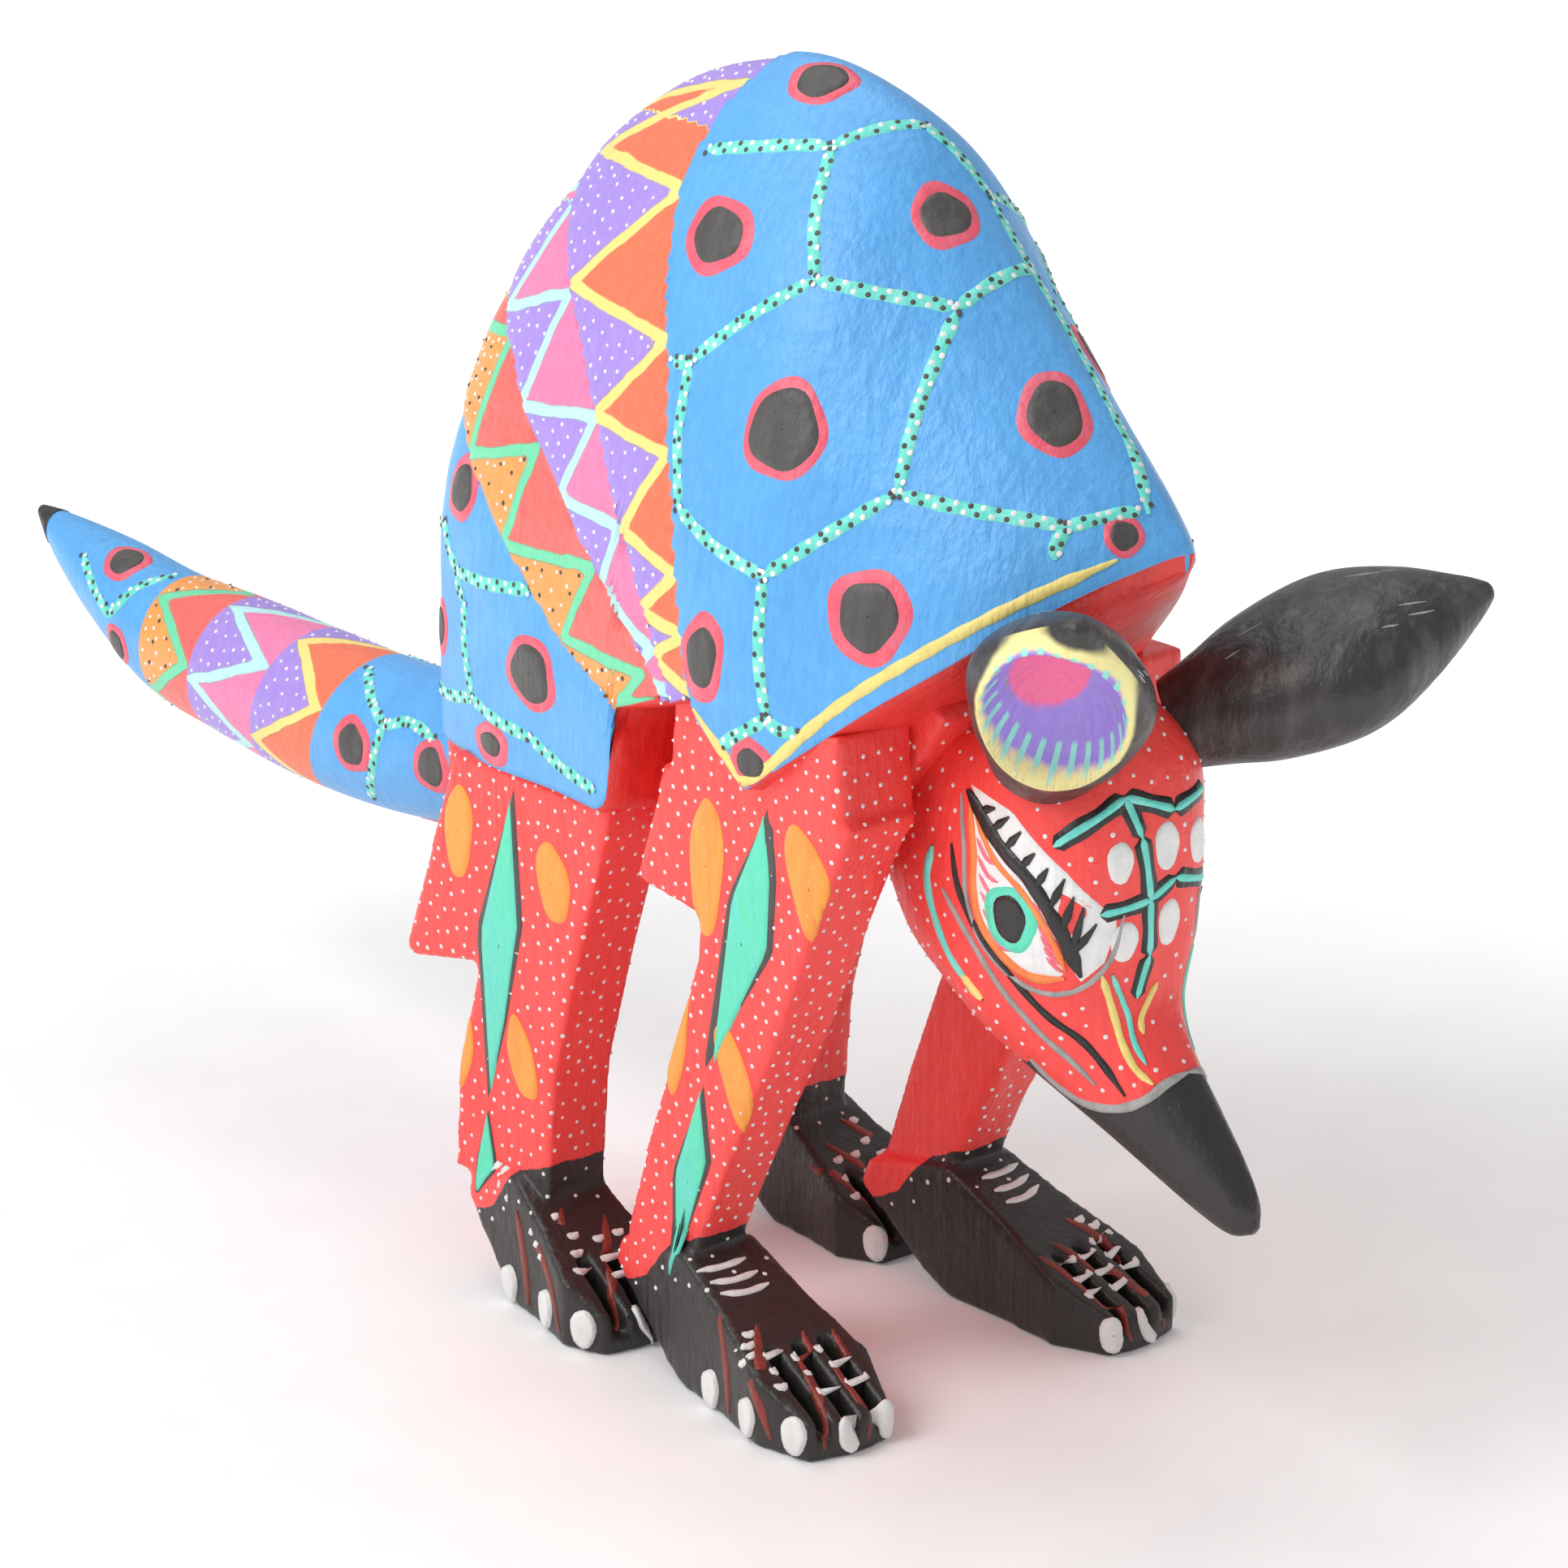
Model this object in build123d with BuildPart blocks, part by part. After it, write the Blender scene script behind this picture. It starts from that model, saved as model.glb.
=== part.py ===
"""Painted wooden armadillo figure: a carved body with a doweled head and legs, and plug-in ears and tail.

Row frame: millimetres, +Z up, the animal faces -Y, its left side is +X. The origin is on the ground under the
middle of the figure's length, so the soles stand on Z = 0.
"""
from build123d import *
from math import cos, pi, sin
import os

os.makedirs("parts", exist_ok=True)

# ---- driving dimensions ----
MIDDLE_X = -3.6  # the animal's middle plane: its ears reach further to the left than to the right
HUMP_TOP = 200.8
HUMP_HALF_WIDTH = 38.5
ARCH_SPRING = 112.0  # height where the arch starts from upright sides
BELLY_HALF_WIDTH = 19.3
BELLY_BOTTOM = 80.0
# Distances of the legs' faces from the middle plane
FRONT_LEG_INNER = 22.0
FRONT_LEG_OUTER = 35.0
REAR_LEG_INNER = 19.5
REAR_LEG_OUTER = 32.0
ANKLE_OUTER = 31.0
FRONT_LEG_TOP = 100.0
REAR_LEG_TOP = 88.0
ANKLE_HEIGHT = 18.0
TAIL_SEAT_Y = 18.0  # plane where the tail meets the rump
TAIL_HEIGHT = 74.0  # tail root's centre above ground
TAIL_ROOT_RADIUS = 12.5
DOWEL_RADIUS = 3.0
PEG_RADIUS = 2.5
TAIL_PEG_RADIUS = 4.0
FIT_GAP = 0.05  # radial clearance of every peg and dowel
HOLE_END_GAP = 0.5  # air left past the end of every peg and dowel
SEAT_GAP = 0.3  # air between an ear or the tail and its seat, so that it turns freely
FRONT_DOWEL_Y = -84.0
REAR_DOWEL_Y = -22.0
FRONT_DOWEL_X = (FRONT_LEG_INNER + FRONT_LEG_OUTER) / 2
REAR_DOWEL_X = (REAR_LEG_INNER + REAR_LEG_OUTER) / 2
DOWEL_DEPTH = 11.0  # how far a leg dowel enters each piece
DOWEL_HOLE = DOWEL_RADIUS + FIT_GAP
NECK_DOWEL_DEPTH = 13.0
SHOULDER_Y = -81.0
SHOULDER_LENGTH = 42.0
SHOULDER_HEIGHT = 17.0

# Carapace stations from nose to rump, carved a little fuller on the right of the nose:
# (y, right half width, left half width, ridge height, superellipse power of the section)
HUMP_STATIONS = [
    (-134.0, 3.0, 1.5, 142.5, 1.6),
    (-130.5, 10.0, 5.5, 146.5, 1.6),
    (-126.0, 16.0, 9.0, 151.0, 1.6),
    (-117.0, 24.5, 16.0, 158.5, 1.6),
    (-104.0, 31.5, 24.0, 170.5, 1.65),
    (-90.0, 36.5, 32.0, 184.0, 1.7),
    (-76.0, HUMP_HALF_WIDTH, 37.0, 195.5, 1.72),
    (-54.0, 37.0, 37.0, HUMP_TOP, 1.72),
    (-30.0, 33.5, 33.5, 194.5, 1.72),
    (-12.0, 31.0, 31.0, 182.5, 1.75),
    (2.0, 26.5, 26.5, 165.0, 1.9),
    (10.0, 20.5, 20.5, 147.0, 2.0),
    (16.0, 13.5, 13.5, 128.0, 2.0),
    (19.5, 6.0, 6.0, 115.0, 2.0),
]
NOSE_RIM = (-134.0, 141.5)
CORNER_RIM = (-83.0, 102.0)
# Side view of everything that lies below the carapace's rim, cut away from under it
RIM_SIDE = [
    (-150.0, 154.0),
    NOSE_RIM,
    CORNER_RIM,
    (-70.0, 112.0),
    (-52.0, 107.0),
    (-48.0, REAR_LEG_TOP),
    (30.0, REAR_LEG_TOP),
    (30.0, 60.0),
    (-150.0, 60.0),
]
# Side view of the belly, from the neck seat back to the hips
NECK_SEAT_TOP = (-105.0, 114.0)
NECK_SEAT_BOTTOM = (-82.0, 83.3)
BELLY_SIDE = [
    NECK_SEAT_TOP,
    NECK_SEAT_BOTTOM,
    (-76.0, BELLY_BOTTOM),
    (-2.0, BELLY_BOTTOM),
    (-2.0, 120.0),
    (-95.0, 130.0),
]
HIP_HALF_WIDTH = 15.5
HIP_SIDE = [
    (-14.0, BELLY_BOTTOM),
    (-2.0, 62.0),
    (TAIL_SEAT_Y - SEAT_GAP, 60.0),
    (TAIL_SEAT_Y - SEAT_GAP, 96.0),
    (-14.0, 120.0),
]
# Side views of the legs, without feet
FRONT_LEG_SIDE = [
    (-102.0, FRONT_LEG_TOP),
    (-94.0, 84.0),
    (-83.0, 60.0),
    (-68.0, 31.0),
    (-62.0, ANKLE_HEIGHT),
    (-46.0, ANKLE_HEIGHT),
    (-52.0, 35.0),
    (-60.0, 55.0),
    (-66.0, 70.0),
    (-67.0, 77.5),
    (-52.5, 79.5),
    (-60.0, FRONT_LEG_TOP),
]
REAR_LEG_SIDE = [
    (-44.0, REAR_LEG_TOP),
    (-42.0, 80.0),
    (-35.0, 60.0),
    (-29.0, 40.0),
    (-27.0, ANKLE_HEIGHT),
    (-3.5, ANKLE_HEIGHT),
    (-5.0, 35.0),
    (-10.5, 54.0),
    (7.0, 50.5),
    (8.0, 52.5),
    (-6.0, REAR_LEG_TOP),
]
# A foot about the middle of its ankle, toes towards -Y: its half widths and side view, in shares of its reach
FOOT_PLAN = [(6.0, 0.24), (6.5, -0.05), (8.0, -0.45), (10.5, -0.75), (7.5, -0.97), (0.0, -1.0)]
FOOT_SIDE = [
    (0.2, 18.5),
    (0.24, 14.0),
    (-0.1, 2.0),
    (-0.2, 0.0),
    (-1.0, 0.0),
    (-1.0, 5.5),
    (-0.75, 11.0),
    (-0.2, 22.0),
]
TOE_GROOVES = (-4.6, 0.2, 5.0)  # across the foot, between the toes
GROOVE_WIDTH = 2.0
GROOVE_FLOOR = 3.0
GROOVE_SHARE = 0.36  # groove's length as a share of the foot's reach
FRONT_FOOT = {"x": 26.0, "y": -54.0, "reach": 45.0, "turn": 6.0}
REAR_FOOT = {"x": 26.0, "y": -15.0, "reach": 33.0, "turn": 4.0}

# Head outlines
HEAD_SIDE = [
    NECK_SEAT_TOP,
    (-119.0, 116.0),
    (-129.0, 108.0),
    (-131.0, 95.0),
    (-128.0, 76.0),
    (-139.0, 63.0),
    (-150.0, 51.0),
    (-151.5, 46.0),
    (-147.0, 43.0),
    (-128.0, 47.0),
    (-109.0, 54.0),
    (-92.0, 63.0),
    (-82.0, 72.0),
    NECK_SEAT_BOTTOM,
]
HEAD_FRONT = [
    (0.0, 117.0),
    (11.0, 115.0),
    (16.5, 104.0),
    (17.5, 90.0),
    (15.0, 75.0),
    (9.0, 60.0),
    (5.0, 48.0),
    (4.0, 42.0),
]
# Ears: middle of the seat, direction of the peg, direction that the bowl faces
EAR_SEAT = (13.0, -119.0, 110.0)
RIGHT_EAR_WAY = Vector(-0.46, -0.62, 0.635).normalized()
LEFT_EAR_WAY = Vector(0.66, -0.62, 0.42).normalized()
EAR_LENGTH = 50.0
# Stations along an ear: (distance from its seat, half width, half thickness)
EAR_STATIONS = [
    (0.0, 8.5, 7.0),
    (14.0, 12.0, 8.5),
    (27.0, 13.5, 8.5),
    (40.0, 8.5, 6.0),
    (EAR_LENGTH, 1.2, 1.2),
]
RIGHT_EAR_FACING = Vector(-0.71, -0.39, -0.58)
LEFT_EAR_FACING = Vector(0.71, -0.39, -0.58)
EAR_BOSS_RADIUS = 8.5
EAR_BOWL_FROM_SEAT = 28.0
EAR_BOWL_PROUD = 7.0  # the bowl's axis lies this far from the ear's, on the side it faces
EAR_BOWL_RADIUS = 10.5
EAR_BOWL_HALF_LENGTH = 18.5
EAR_PEG_IN_HEAD = 9.0
EAR_PEG_IN_EAR = 8.0

# Tail stations: (y, height of the centre, half width, half height)
TAIL_STATIONS = [
    (TAIL_SEAT_Y, TAIL_HEIGHT, 12.0, TAIL_ROOT_RADIUS),
    (46.0, 71.0, 12.0, 12.7),
    (70.0, 71.0, 12.0, 13.0),
    (92.0, 72.5, 11.5, 12.3),
    (111.0, 74.0, 10.5, 11.0),
    (128.0, 79.0, 8.0, 8.2),
    (142.0, 83.5, 4.5, 4.8),
    (152.0, 87.5, 1.0, 1.0),
]
TAIL_PEG_IN_RUMP = 16.0
TAIL_PEG_IN_TAIL = 16.0


def spring_height(y):
    """Where the carapace's arch starts: at the rim near the nose, and at one height behind it."""
    share = (y - CORNER_RIM[0]) / (NOSE_RIM[0] - CORNER_RIM[0])
    return max(ARCH_SPRING, CORNER_RIM[1] + share * (NOSE_RIM[1] - CORNER_RIM[1]))


def arch_point(right_width, left_width, spring, ridge, power, turn):
    """A point of the carapace's arch, where turn runs from 0 at the right side to pi at the left."""
    share = abs(cos(turn)) ** (2 / power)
    across = -right_width * share if turn < pi / 2 else left_width * share
    return (across, spring + (ridge - spring) * sin(turn) ** (2 / power))


def across_outline(points):
    """A closed outline from its right half, mirrored over the middle plane."""
    return points + [(-x, z) for x, z in reversed(points)]


def rod(start, way, length, radius):
    """A plain round rod that starts at a point and runs one way."""
    with BuildPart() as made:
        with BuildSketch(Plane(origin=start, z_dir=way)):
            Circle(radius)
        extrude(amount=length)
    return made.part


def side_prism(outline, x_from, x_to):
    """A side outline (y, z) made solid between two distances from the middle plane."""
    with BuildPart() as made:
        with BuildSketch(Plane.YZ.offset(x_from)):
            with BuildLine():
                Polyline(*outline, close=True)
            make_face()
        extrude(amount=x_to - x_from)
    return made.part


def carved_foot(side, foot):
    """A paw with grooves between its toes, as the overlap of its top view and its side view."""
    half = [(x, y * foot["reach"]) for x, y in FOOT_PLAN]
    plan = half + [(-x, y) for x, y in reversed(half[:-1])]
    place = Plane(origin=(side * foot["x"], foot["y"], 0)).rotated((0, 0, side * foot["turn"]))
    with BuildPart() as made:
        with BuildSketch(Plane.XY):
            with BuildLine():
                Polyline(*plan, close=True)
            make_face()
        extrude(amount=30)
        side_view = [(y * foot["reach"], z) for y, z in FOOT_SIDE]
        add(side_prism(side_view, -20, 20), mode=Mode.INTERSECT)
        for groove in TOE_GROOVES:
            with BuildSketch(Plane.XY.offset(GROOVE_FLOOR)):
                with Locations((groove, -foot["reach"])):
                    Rectangle(GROOVE_WIDTH, foot["reach"] * 2 * GROOVE_SHARE)
            extrude(amount=30, mode=Mode.SUBTRACT)
    return place * made.part


def finish(builder, node):
    """Move a finished piece into the row frame, label it and write its file."""
    piece = Location((MIDDLE_X, 0, 0)) * builder.part
    piece.label = node
    export_step(piece, f"parts/{node}.step")
    low, high = piece.bounding_box().min, piece.bounding_box().max
    width = f"X {low.X:.1f} to {high.X:.1f}"
    print(f"{node}: {piece.volume / 1000:.1f} cm3, {width}, Y {low.Y:.1f} to {high.Y:.1f}")


# ---- shared places ----
RIGHT_EAR_SEAT = Vector(-EAR_SEAT[0], EAR_SEAT[1], EAR_SEAT[2])
LEFT_EAR_SEAT = Vector(*EAR_SEAT)
NECK_TOP = Vector(0, *NECK_SEAT_TOP)
NECK_BOTTOM = Vector(0, *NECK_SEAT_BOTTOM)
NECK_WAY = Vector(1, 0, 0).cross(NECK_TOP - NECK_BOTTOM).normalized()
NECK_MIDDLE = (NECK_TOP + NECK_BOTTOM) * 0.5
TAIL_SEAT = Vector(0, TAIL_SEAT_Y, TAIL_HEIGHT)

# ---- body: carapace, belly, shoulders and hips carved in one ----
with BuildPart() as body:
    for y, right_width, left_width, ridge, power in HUMP_STATIONS:
        spring = spring_height(y)
        with BuildSketch(Plane(origin=(0, y, 0), x_dir=(1, 0, 0), z_dir=(0, -1, 0))):
            with BuildLine():
                turns = [pi * i / 12 for i in range(13)]
                arch = [arch_point(right_width, left_width, spring, ridge, power, turn) for turn in turns]
                Spline(*arch)
                Polyline((left_width, spring), (left_width, BELLY_BOTTOM), (-right_width, BELLY_BOTTOM),
                         (-right_width, spring))
            make_face()
    loft()
    add(side_prism(RIM_SIDE, -60, 60), mode=Mode.SUBTRACT)
    add(side_prism(BELLY_SIDE, -BELLY_HALF_WIDTH, BELLY_HALF_WIDTH))
    add(side_prism(HIP_SIDE, -HIP_HALF_WIDTH, HIP_HALF_WIDTH))
    # shoulders, which the front legs stand under
    for side in (-1, 1):
        with BuildSketch(Plane.XY.offset(FRONT_LEG_TOP)):
            with Locations((side * (BELLY_HALF_WIDTH + FRONT_LEG_OUTER) / 2, SHOULDER_Y)):
                Rectangle(FRONT_LEG_OUTER - BELLY_HALF_WIDTH, SHOULDER_LENGTH)
        extrude(amount=SHOULDER_HEIGHT)
        for dowel_x, dowel_y, top in (
            (FRONT_DOWEL_X, FRONT_DOWEL_Y, FRONT_LEG_TOP),
            (REAR_DOWEL_X, REAR_DOWEL_Y, REAR_LEG_TOP),
        ):
            hole_start = (side * dowel_x, dowel_y, top - 1)
            add(rod(hole_start, (0, 0, 1), DOWEL_DEPTH + HOLE_END_GAP + 1, DOWEL_HOLE), mode=Mode.SUBTRACT)
    add(rod(NECK_MIDDLE + NECK_WAY, NECK_WAY * -1, NECK_DOWEL_DEPTH + HOLE_END_GAP + 1, DOWEL_HOLE),
        mode=Mode.SUBTRACT)
    peg_hole_start = TAIL_SEAT + Vector(0, 5, 0)
    peg_hole_length = TAIL_PEG_IN_RUMP + HOLE_END_GAP + 5
    add(rod(peg_hole_start, (0, -1, 0), peg_hole_length, TAIL_PEG_RADIUS + FIT_GAP), mode=Mode.SUBTRACT)
    # the rump is cut back flush with the tail's seat
    with BuildSketch(Plane.XZ.offset(SEAT_GAP - TAIL_SEAT_Y)):
        with Locations((0, TAIL_HEIGHT)):
            Circle(TAIL_ROOT_RADIUS + 3.0)
    extrude(amount=-12.0, mode=Mode.SUBTRACT)
finish(body, "body")

# ---- legs, each carved in one with its foot ----
LEG_KINDS = {
    "front": {"outline": FRONT_LEG_SIDE, "top": FRONT_LEG_TOP, "foot": FRONT_FOOT,
              "inner": FRONT_LEG_INNER, "outer": FRONT_LEG_OUTER,
              "dowel": (FRONT_DOWEL_X, FRONT_DOWEL_Y)},
    "rear": {"outline": REAR_LEG_SIDE, "top": REAR_LEG_TOP, "foot": REAR_FOOT,
             "inner": REAR_LEG_INNER, "outer": REAR_LEG_OUTER,
             "dowel": (REAR_DOWEL_X, REAR_DOWEL_Y)},
}
for side_name, side in (("right", -1), ("left", 1)):
    for end, kind in LEG_KINDS.items():
        top, outer = kind["top"], side * kind["outer"]
        dowel_x, dowel_y = side * kind["dowel"][0], kind["dowel"][1]
        with BuildPart() as leg:
            add(side_prism(kind["outline"], *sorted((side * kind["inner"], outer))))
            # the outer face leans inwards towards the ankle
            with BuildSketch(Plane.XZ):
                with BuildLine():
                    Polyline((outer, top), (side * 50, top), (side * 50, 0), (side * ANKLE_OUTER, 0),
                             close=True)
                make_face()
            extrude(amount=150, both=True, mode=Mode.SUBTRACT)
            add(carved_foot(side, kind["foot"]))
            hole_start = (dowel_x, dowel_y, top + 1)
            add(rod(hole_start, (0, 0, -1), DOWEL_DEPTH + HOLE_END_GAP + 1, DOWEL_HOLE), mode=Mode.SUBTRACT)
        finish(leg, f"{end}_{side_name}_leg")
        with BuildPart() as dowel:
            add(rod((dowel_x, dowel_y, top - DOWEL_DEPTH), (0, 0, 1), 2 * DOWEL_DEPTH, DOWEL_RADIUS))
        finish(dowel, f"{end}_{side_name}_leg_dowel")

# ---- head, snout and neck ----
with BuildPart() as head:
    add(side_prism(HEAD_SIDE, -18, 18))
    with BuildSketch(Plane.XZ.offset(60)):
        with BuildLine():
            Polyline(*across_outline(HEAD_FRONT), close=True)
        make_face()
    extrude(amount=100, mode=Mode.INTERSECT)
    # a low round boss under each ear, with a flat seat
    for seat, way in ((RIGHT_EAR_SEAT, RIGHT_EAR_WAY), (LEFT_EAR_SEAT, LEFT_EAR_WAY)):
        add(rod(seat - way * 10, way, 10, EAR_BOSS_RADIUS))
        add(rod(seat, way, 12, EAR_BOSS_RADIUS + 2), mode=Mode.SUBTRACT)
        peg_hole_length = EAR_PEG_IN_HEAD + HOLE_END_GAP + 1
        add(rod(seat + way, way * -1, peg_hole_length, PEG_RADIUS + FIT_GAP), mode=Mode.SUBTRACT)
    neck_hole_length = NECK_DOWEL_DEPTH + HOLE_END_GAP + 1
    add(rod(NECK_MIDDLE - NECK_WAY, NECK_WAY, neck_hole_length, DOWEL_HOLE), mode=Mode.SUBTRACT)
finish(head, "head")

with BuildPart() as neck_dowel:
    add(rod(NECK_MIDDLE - NECK_WAY * NECK_DOWEL_DEPTH, NECK_WAY, 2 * NECK_DOWEL_DEPTH, DOWEL_RADIUS))
finish(neck_dowel, "neck_dowel")

# ---- ears, each a leaf with a bowl carved into one side, and their pegs ----
for side_name, seat, way, facing in (
    ("right", RIGHT_EAR_SEAT, RIGHT_EAR_WAY, RIGHT_EAR_FACING),
    ("left", LEFT_EAR_SEAT, LEFT_EAR_WAY, LEFT_EAR_FACING),
):
    facing = (facing - way * facing.dot(way)).normalized()
    across = way.cross(facing)
    root = seat + way * SEAT_GAP
    with BuildPart() as ear:
        for distance, half_width, half_thickness in EAR_STATIONS:
            with BuildSketch(Plane(origin=root + way * distance, x_dir=across, z_dir=way)):
                Ellipse(half_width, half_thickness)
        loft()
        # the bowl
        bowl_middle = root + way * EAR_BOWL_FROM_SEAT + facing * EAR_BOWL_PROUD
        with BuildSketch(Plane(origin=bowl_middle, x_dir=facing, z_dir=across)):
            with BuildLine():
                bowl_edge = EllipticalCenterArc(
                    (0, 0), EAR_BOWL_RADIUS, EAR_BOWL_HALF_LENGTH, start_angle=90, arc_size=180
                )
                Line(bowl_edge @ 0, bowl_edge @ 1)
            make_face()
        revolve(axis=Axis(bowl_middle, way), mode=Mode.SUBTRACT)
        add(rod(root - way, way, EAR_PEG_IN_EAR + HOLE_END_GAP + 1, PEG_RADIUS + FIT_GAP), mode=Mode.SUBTRACT)
    finish(ear, f"{side_name}_ear")
    with BuildPart() as ear_peg:
        add(rod(seat - way * EAR_PEG_IN_HEAD, way, EAR_PEG_IN_HEAD + SEAT_GAP + EAR_PEG_IN_EAR, PEG_RADIUS))
    finish(ear_peg, f"{side_name}_ear_peg")

# ---- tail and its peg ----
with BuildPart() as tail:
    for y, height, half_width, half_height in TAIL_STATIONS:
        with BuildSketch(Plane(origin=(0, y, height), x_dir=(1, 0, 0), z_dir=(0, 1, 0))):
            Ellipse(half_width, half_height)
    loft()
    peg_hole_length = TAIL_PEG_IN_TAIL + HOLE_END_GAP + 1
    tail_hole = rod(TAIL_SEAT - Vector(0, 1, 0), (0, 1, 0), peg_hole_length, TAIL_PEG_RADIUS + FIT_GAP)
    add(tail_hole, mode=Mode.SUBTRACT)
finish(tail, "tail")

with BuildPart() as tail_peg:
    peg_start = TAIL_SEAT - Vector(0, TAIL_PEG_IN_RUMP, 0)
    add(rod(peg_start, (0, 1, 0), TAIL_PEG_IN_RUMP + TAIL_PEG_IN_TAIL, TAIL_PEG_RADIUS))
finish(tail_peg, "tail_peg")
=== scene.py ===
"""The looks of the painted wooden armadillo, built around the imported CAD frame.

Shapes are given in millimetres from the animal's middle plane, with +Z up and the animal facing -Y.
Its own right side is -X. make_piece() moves them into the frame and scales them to metres.
"""
import bmesh
import math
import random
import bpy
import numpy as np
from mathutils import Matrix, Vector
from mathutils.bvhtree import BVHTree
from mathutils.kdtree import KDTree


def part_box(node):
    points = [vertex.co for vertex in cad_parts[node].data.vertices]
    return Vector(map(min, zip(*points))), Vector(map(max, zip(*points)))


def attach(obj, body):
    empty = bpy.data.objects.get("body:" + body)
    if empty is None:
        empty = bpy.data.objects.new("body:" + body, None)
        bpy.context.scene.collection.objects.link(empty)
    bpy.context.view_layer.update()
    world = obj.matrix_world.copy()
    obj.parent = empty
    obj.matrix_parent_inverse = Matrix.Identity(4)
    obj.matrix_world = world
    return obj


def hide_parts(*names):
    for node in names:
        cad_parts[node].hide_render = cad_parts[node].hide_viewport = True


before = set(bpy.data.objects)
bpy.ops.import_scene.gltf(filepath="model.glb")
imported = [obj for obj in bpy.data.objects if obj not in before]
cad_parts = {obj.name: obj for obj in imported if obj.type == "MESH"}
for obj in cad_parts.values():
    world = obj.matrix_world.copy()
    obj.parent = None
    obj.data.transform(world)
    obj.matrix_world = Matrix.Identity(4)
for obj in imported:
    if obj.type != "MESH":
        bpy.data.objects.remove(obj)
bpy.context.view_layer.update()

MM = 0.001
head_low, head_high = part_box("head")
MIDDLE_X = (head_low.x + head_high.x) / 2 / MM


# ---- small geometry tools ----
def smooth_through(stations, count, measured=3):
    """Rows of a smooth curve through the stations, evenly spaced along its first few columns."""
    known = np.array(stations, float)
    ends = np.vstack([2 * known[0] - known[1], known, 2 * known[-1] - known[-2]])
    dense = []
    for i in range(1, len(ends) - 2):
        a, b, c, d = ends[i - 1], ends[i], ends[i + 1], ends[i + 2]
        for t in np.arange(0, 1, 1 / 24):
            dense.append(0.5 * (2 * b + (c - a) * t + (2 * a - 5 * b + 4 * c - d) * t ** 2
                                + (3 * b - a - 3 * c + d) * t ** 3))
    dense.append(known[-1])
    return even_rows(np.array(dense), count, measured)


def even_rows(rows, count, measured=3):
    """The same path with its rows evenly spaced along it."""
    steps = np.linalg.norm(np.diff(rows[:, :measured], axis=0), axis=1)
    along = np.concatenate([[0], np.cumsum(steps)])
    wanted = np.linspace(0, along[-1], count)
    return np.array([np.interp(wanted, along, rows[:, k]) for k in range(rows.shape[1])]).T


def rounded_power(angle, power):
    """Cosine and sine of an angle, pulled out towards a square as the power grows."""
    cosine, sine = np.cos(angle), np.sin(angle)
    return (np.sign(cosine) * np.abs(cosine) ** (2 / power), np.sign(sine) * np.abs(sine) ** (2 / power))


def tube_faces(rows, columns):
    """Faces of closed rings joined in a row, with a fan at each end about an added middle point."""
    faces = []
    for r in range(rows - 1):
        for c in range(columns):
            d = (c + 1) % columns
            faces.append((r * columns + c, r * columns + d, (r + 1) * columns + d, (r + 1) * columns + c))
    first, last = rows * columns, rows * columns + 1
    for c in range(columns):
        d = (c + 1) % columns
        faces.append((d, c, first))
        faces.append(((rows - 1) * columns + c, (rows - 1) * columns + d, last))
    return faces


def tube_points(rings):
    return np.vstack([rings.reshape(-1, 3), rings[0].mean(0), rings[-1].mean(0)])


def ring_normals(rings):
    """Unit normals of a tube's rings, pointing outwards from each ring's middle."""
    down = np.gradient(rings, axis=0)
    wrapped = np.concatenate([rings[:, -1:], rings, rings[:, :1]], axis=1)
    around = (wrapped[:, 2:] - wrapped[:, :-2]) / 2
    normals = np.cross(down, around)
    normals /= np.linalg.norm(normals, axis=2, keepdims=True) + 1e-9
    outward = rings - rings.mean(1, keepdims=True)
    flip = np.sign((normals * outward).sum(axis=(1, 2)))
    return normals * np.where(flip == 0, 1, flip)[:, None, None]


def carving(points, depth):
    """Shallow uneven hollows that a knife leaves, as a height at each point."""
    x, y, z = points[..., 0], points[..., 1], points[..., 2]
    waves = (np.sin(0.21 * y + 0.9 * np.sin(0.13 * z + 0.4))
             + np.sin(0.17 * z + 0.11 * x + 1.7 * np.sin(0.09 * y))
             + 0.6 * np.sin(0.37 * x + 0.29 * z + 0.8))
    return depth * waves / 2.6


def smooth_step(low, high, value):
    t = np.clip((value - low) / (high - low), 0, 1)
    return t * t * (3 - 2 * t)


def make_piece(name, points, faces, body, materials, replaced=(), smooth=True):
    """A mesh in millimetres from the middle plane, put into the frame and tied to a body."""
    mesh = bpy.data.meshes.new(name)
    placed = (np.asarray(points, float) + np.array([MIDDLE_X, 0, 0])) * MM
    mesh.from_pydata(placed.tolist(), [], faces)
    facing_out = bmesh.new()
    facing_out.from_mesh(mesh)
    bmesh.ops.recalc_face_normals(facing_out, faces=facing_out.faces)
    facing_out.to_mesh(mesh)
    facing_out.free()
    mesh.update()
    obj = bpy.data.objects.new(name, mesh)
    bpy.context.scene.collection.objects.link(obj)
    for material in materials:
        mesh.materials.append(material)
    if smooth:
        mesh.shade_smooth()
    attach(obj, body)
    if replaced:
        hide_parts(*replaced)
    return obj


def give_numbers(obj, name, values):
    """A number at every vertex, for the material to read."""
    attribute = obj.data.attributes.new(name, "FLOAT", "POINT")
    attribute.data.foreach_set("value", np.asarray(values, np.float32))


def local_points(obj):
    """The vertices of a piece in millimetres from the middle plane."""
    flat = np.zeros(len(obj.data.vertices) * 3)
    obj.data.vertices.foreach_get("co", flat)
    return flat.reshape(-1, 3) / MM - np.array([MIDDLE_X, 0, 0])


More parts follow.
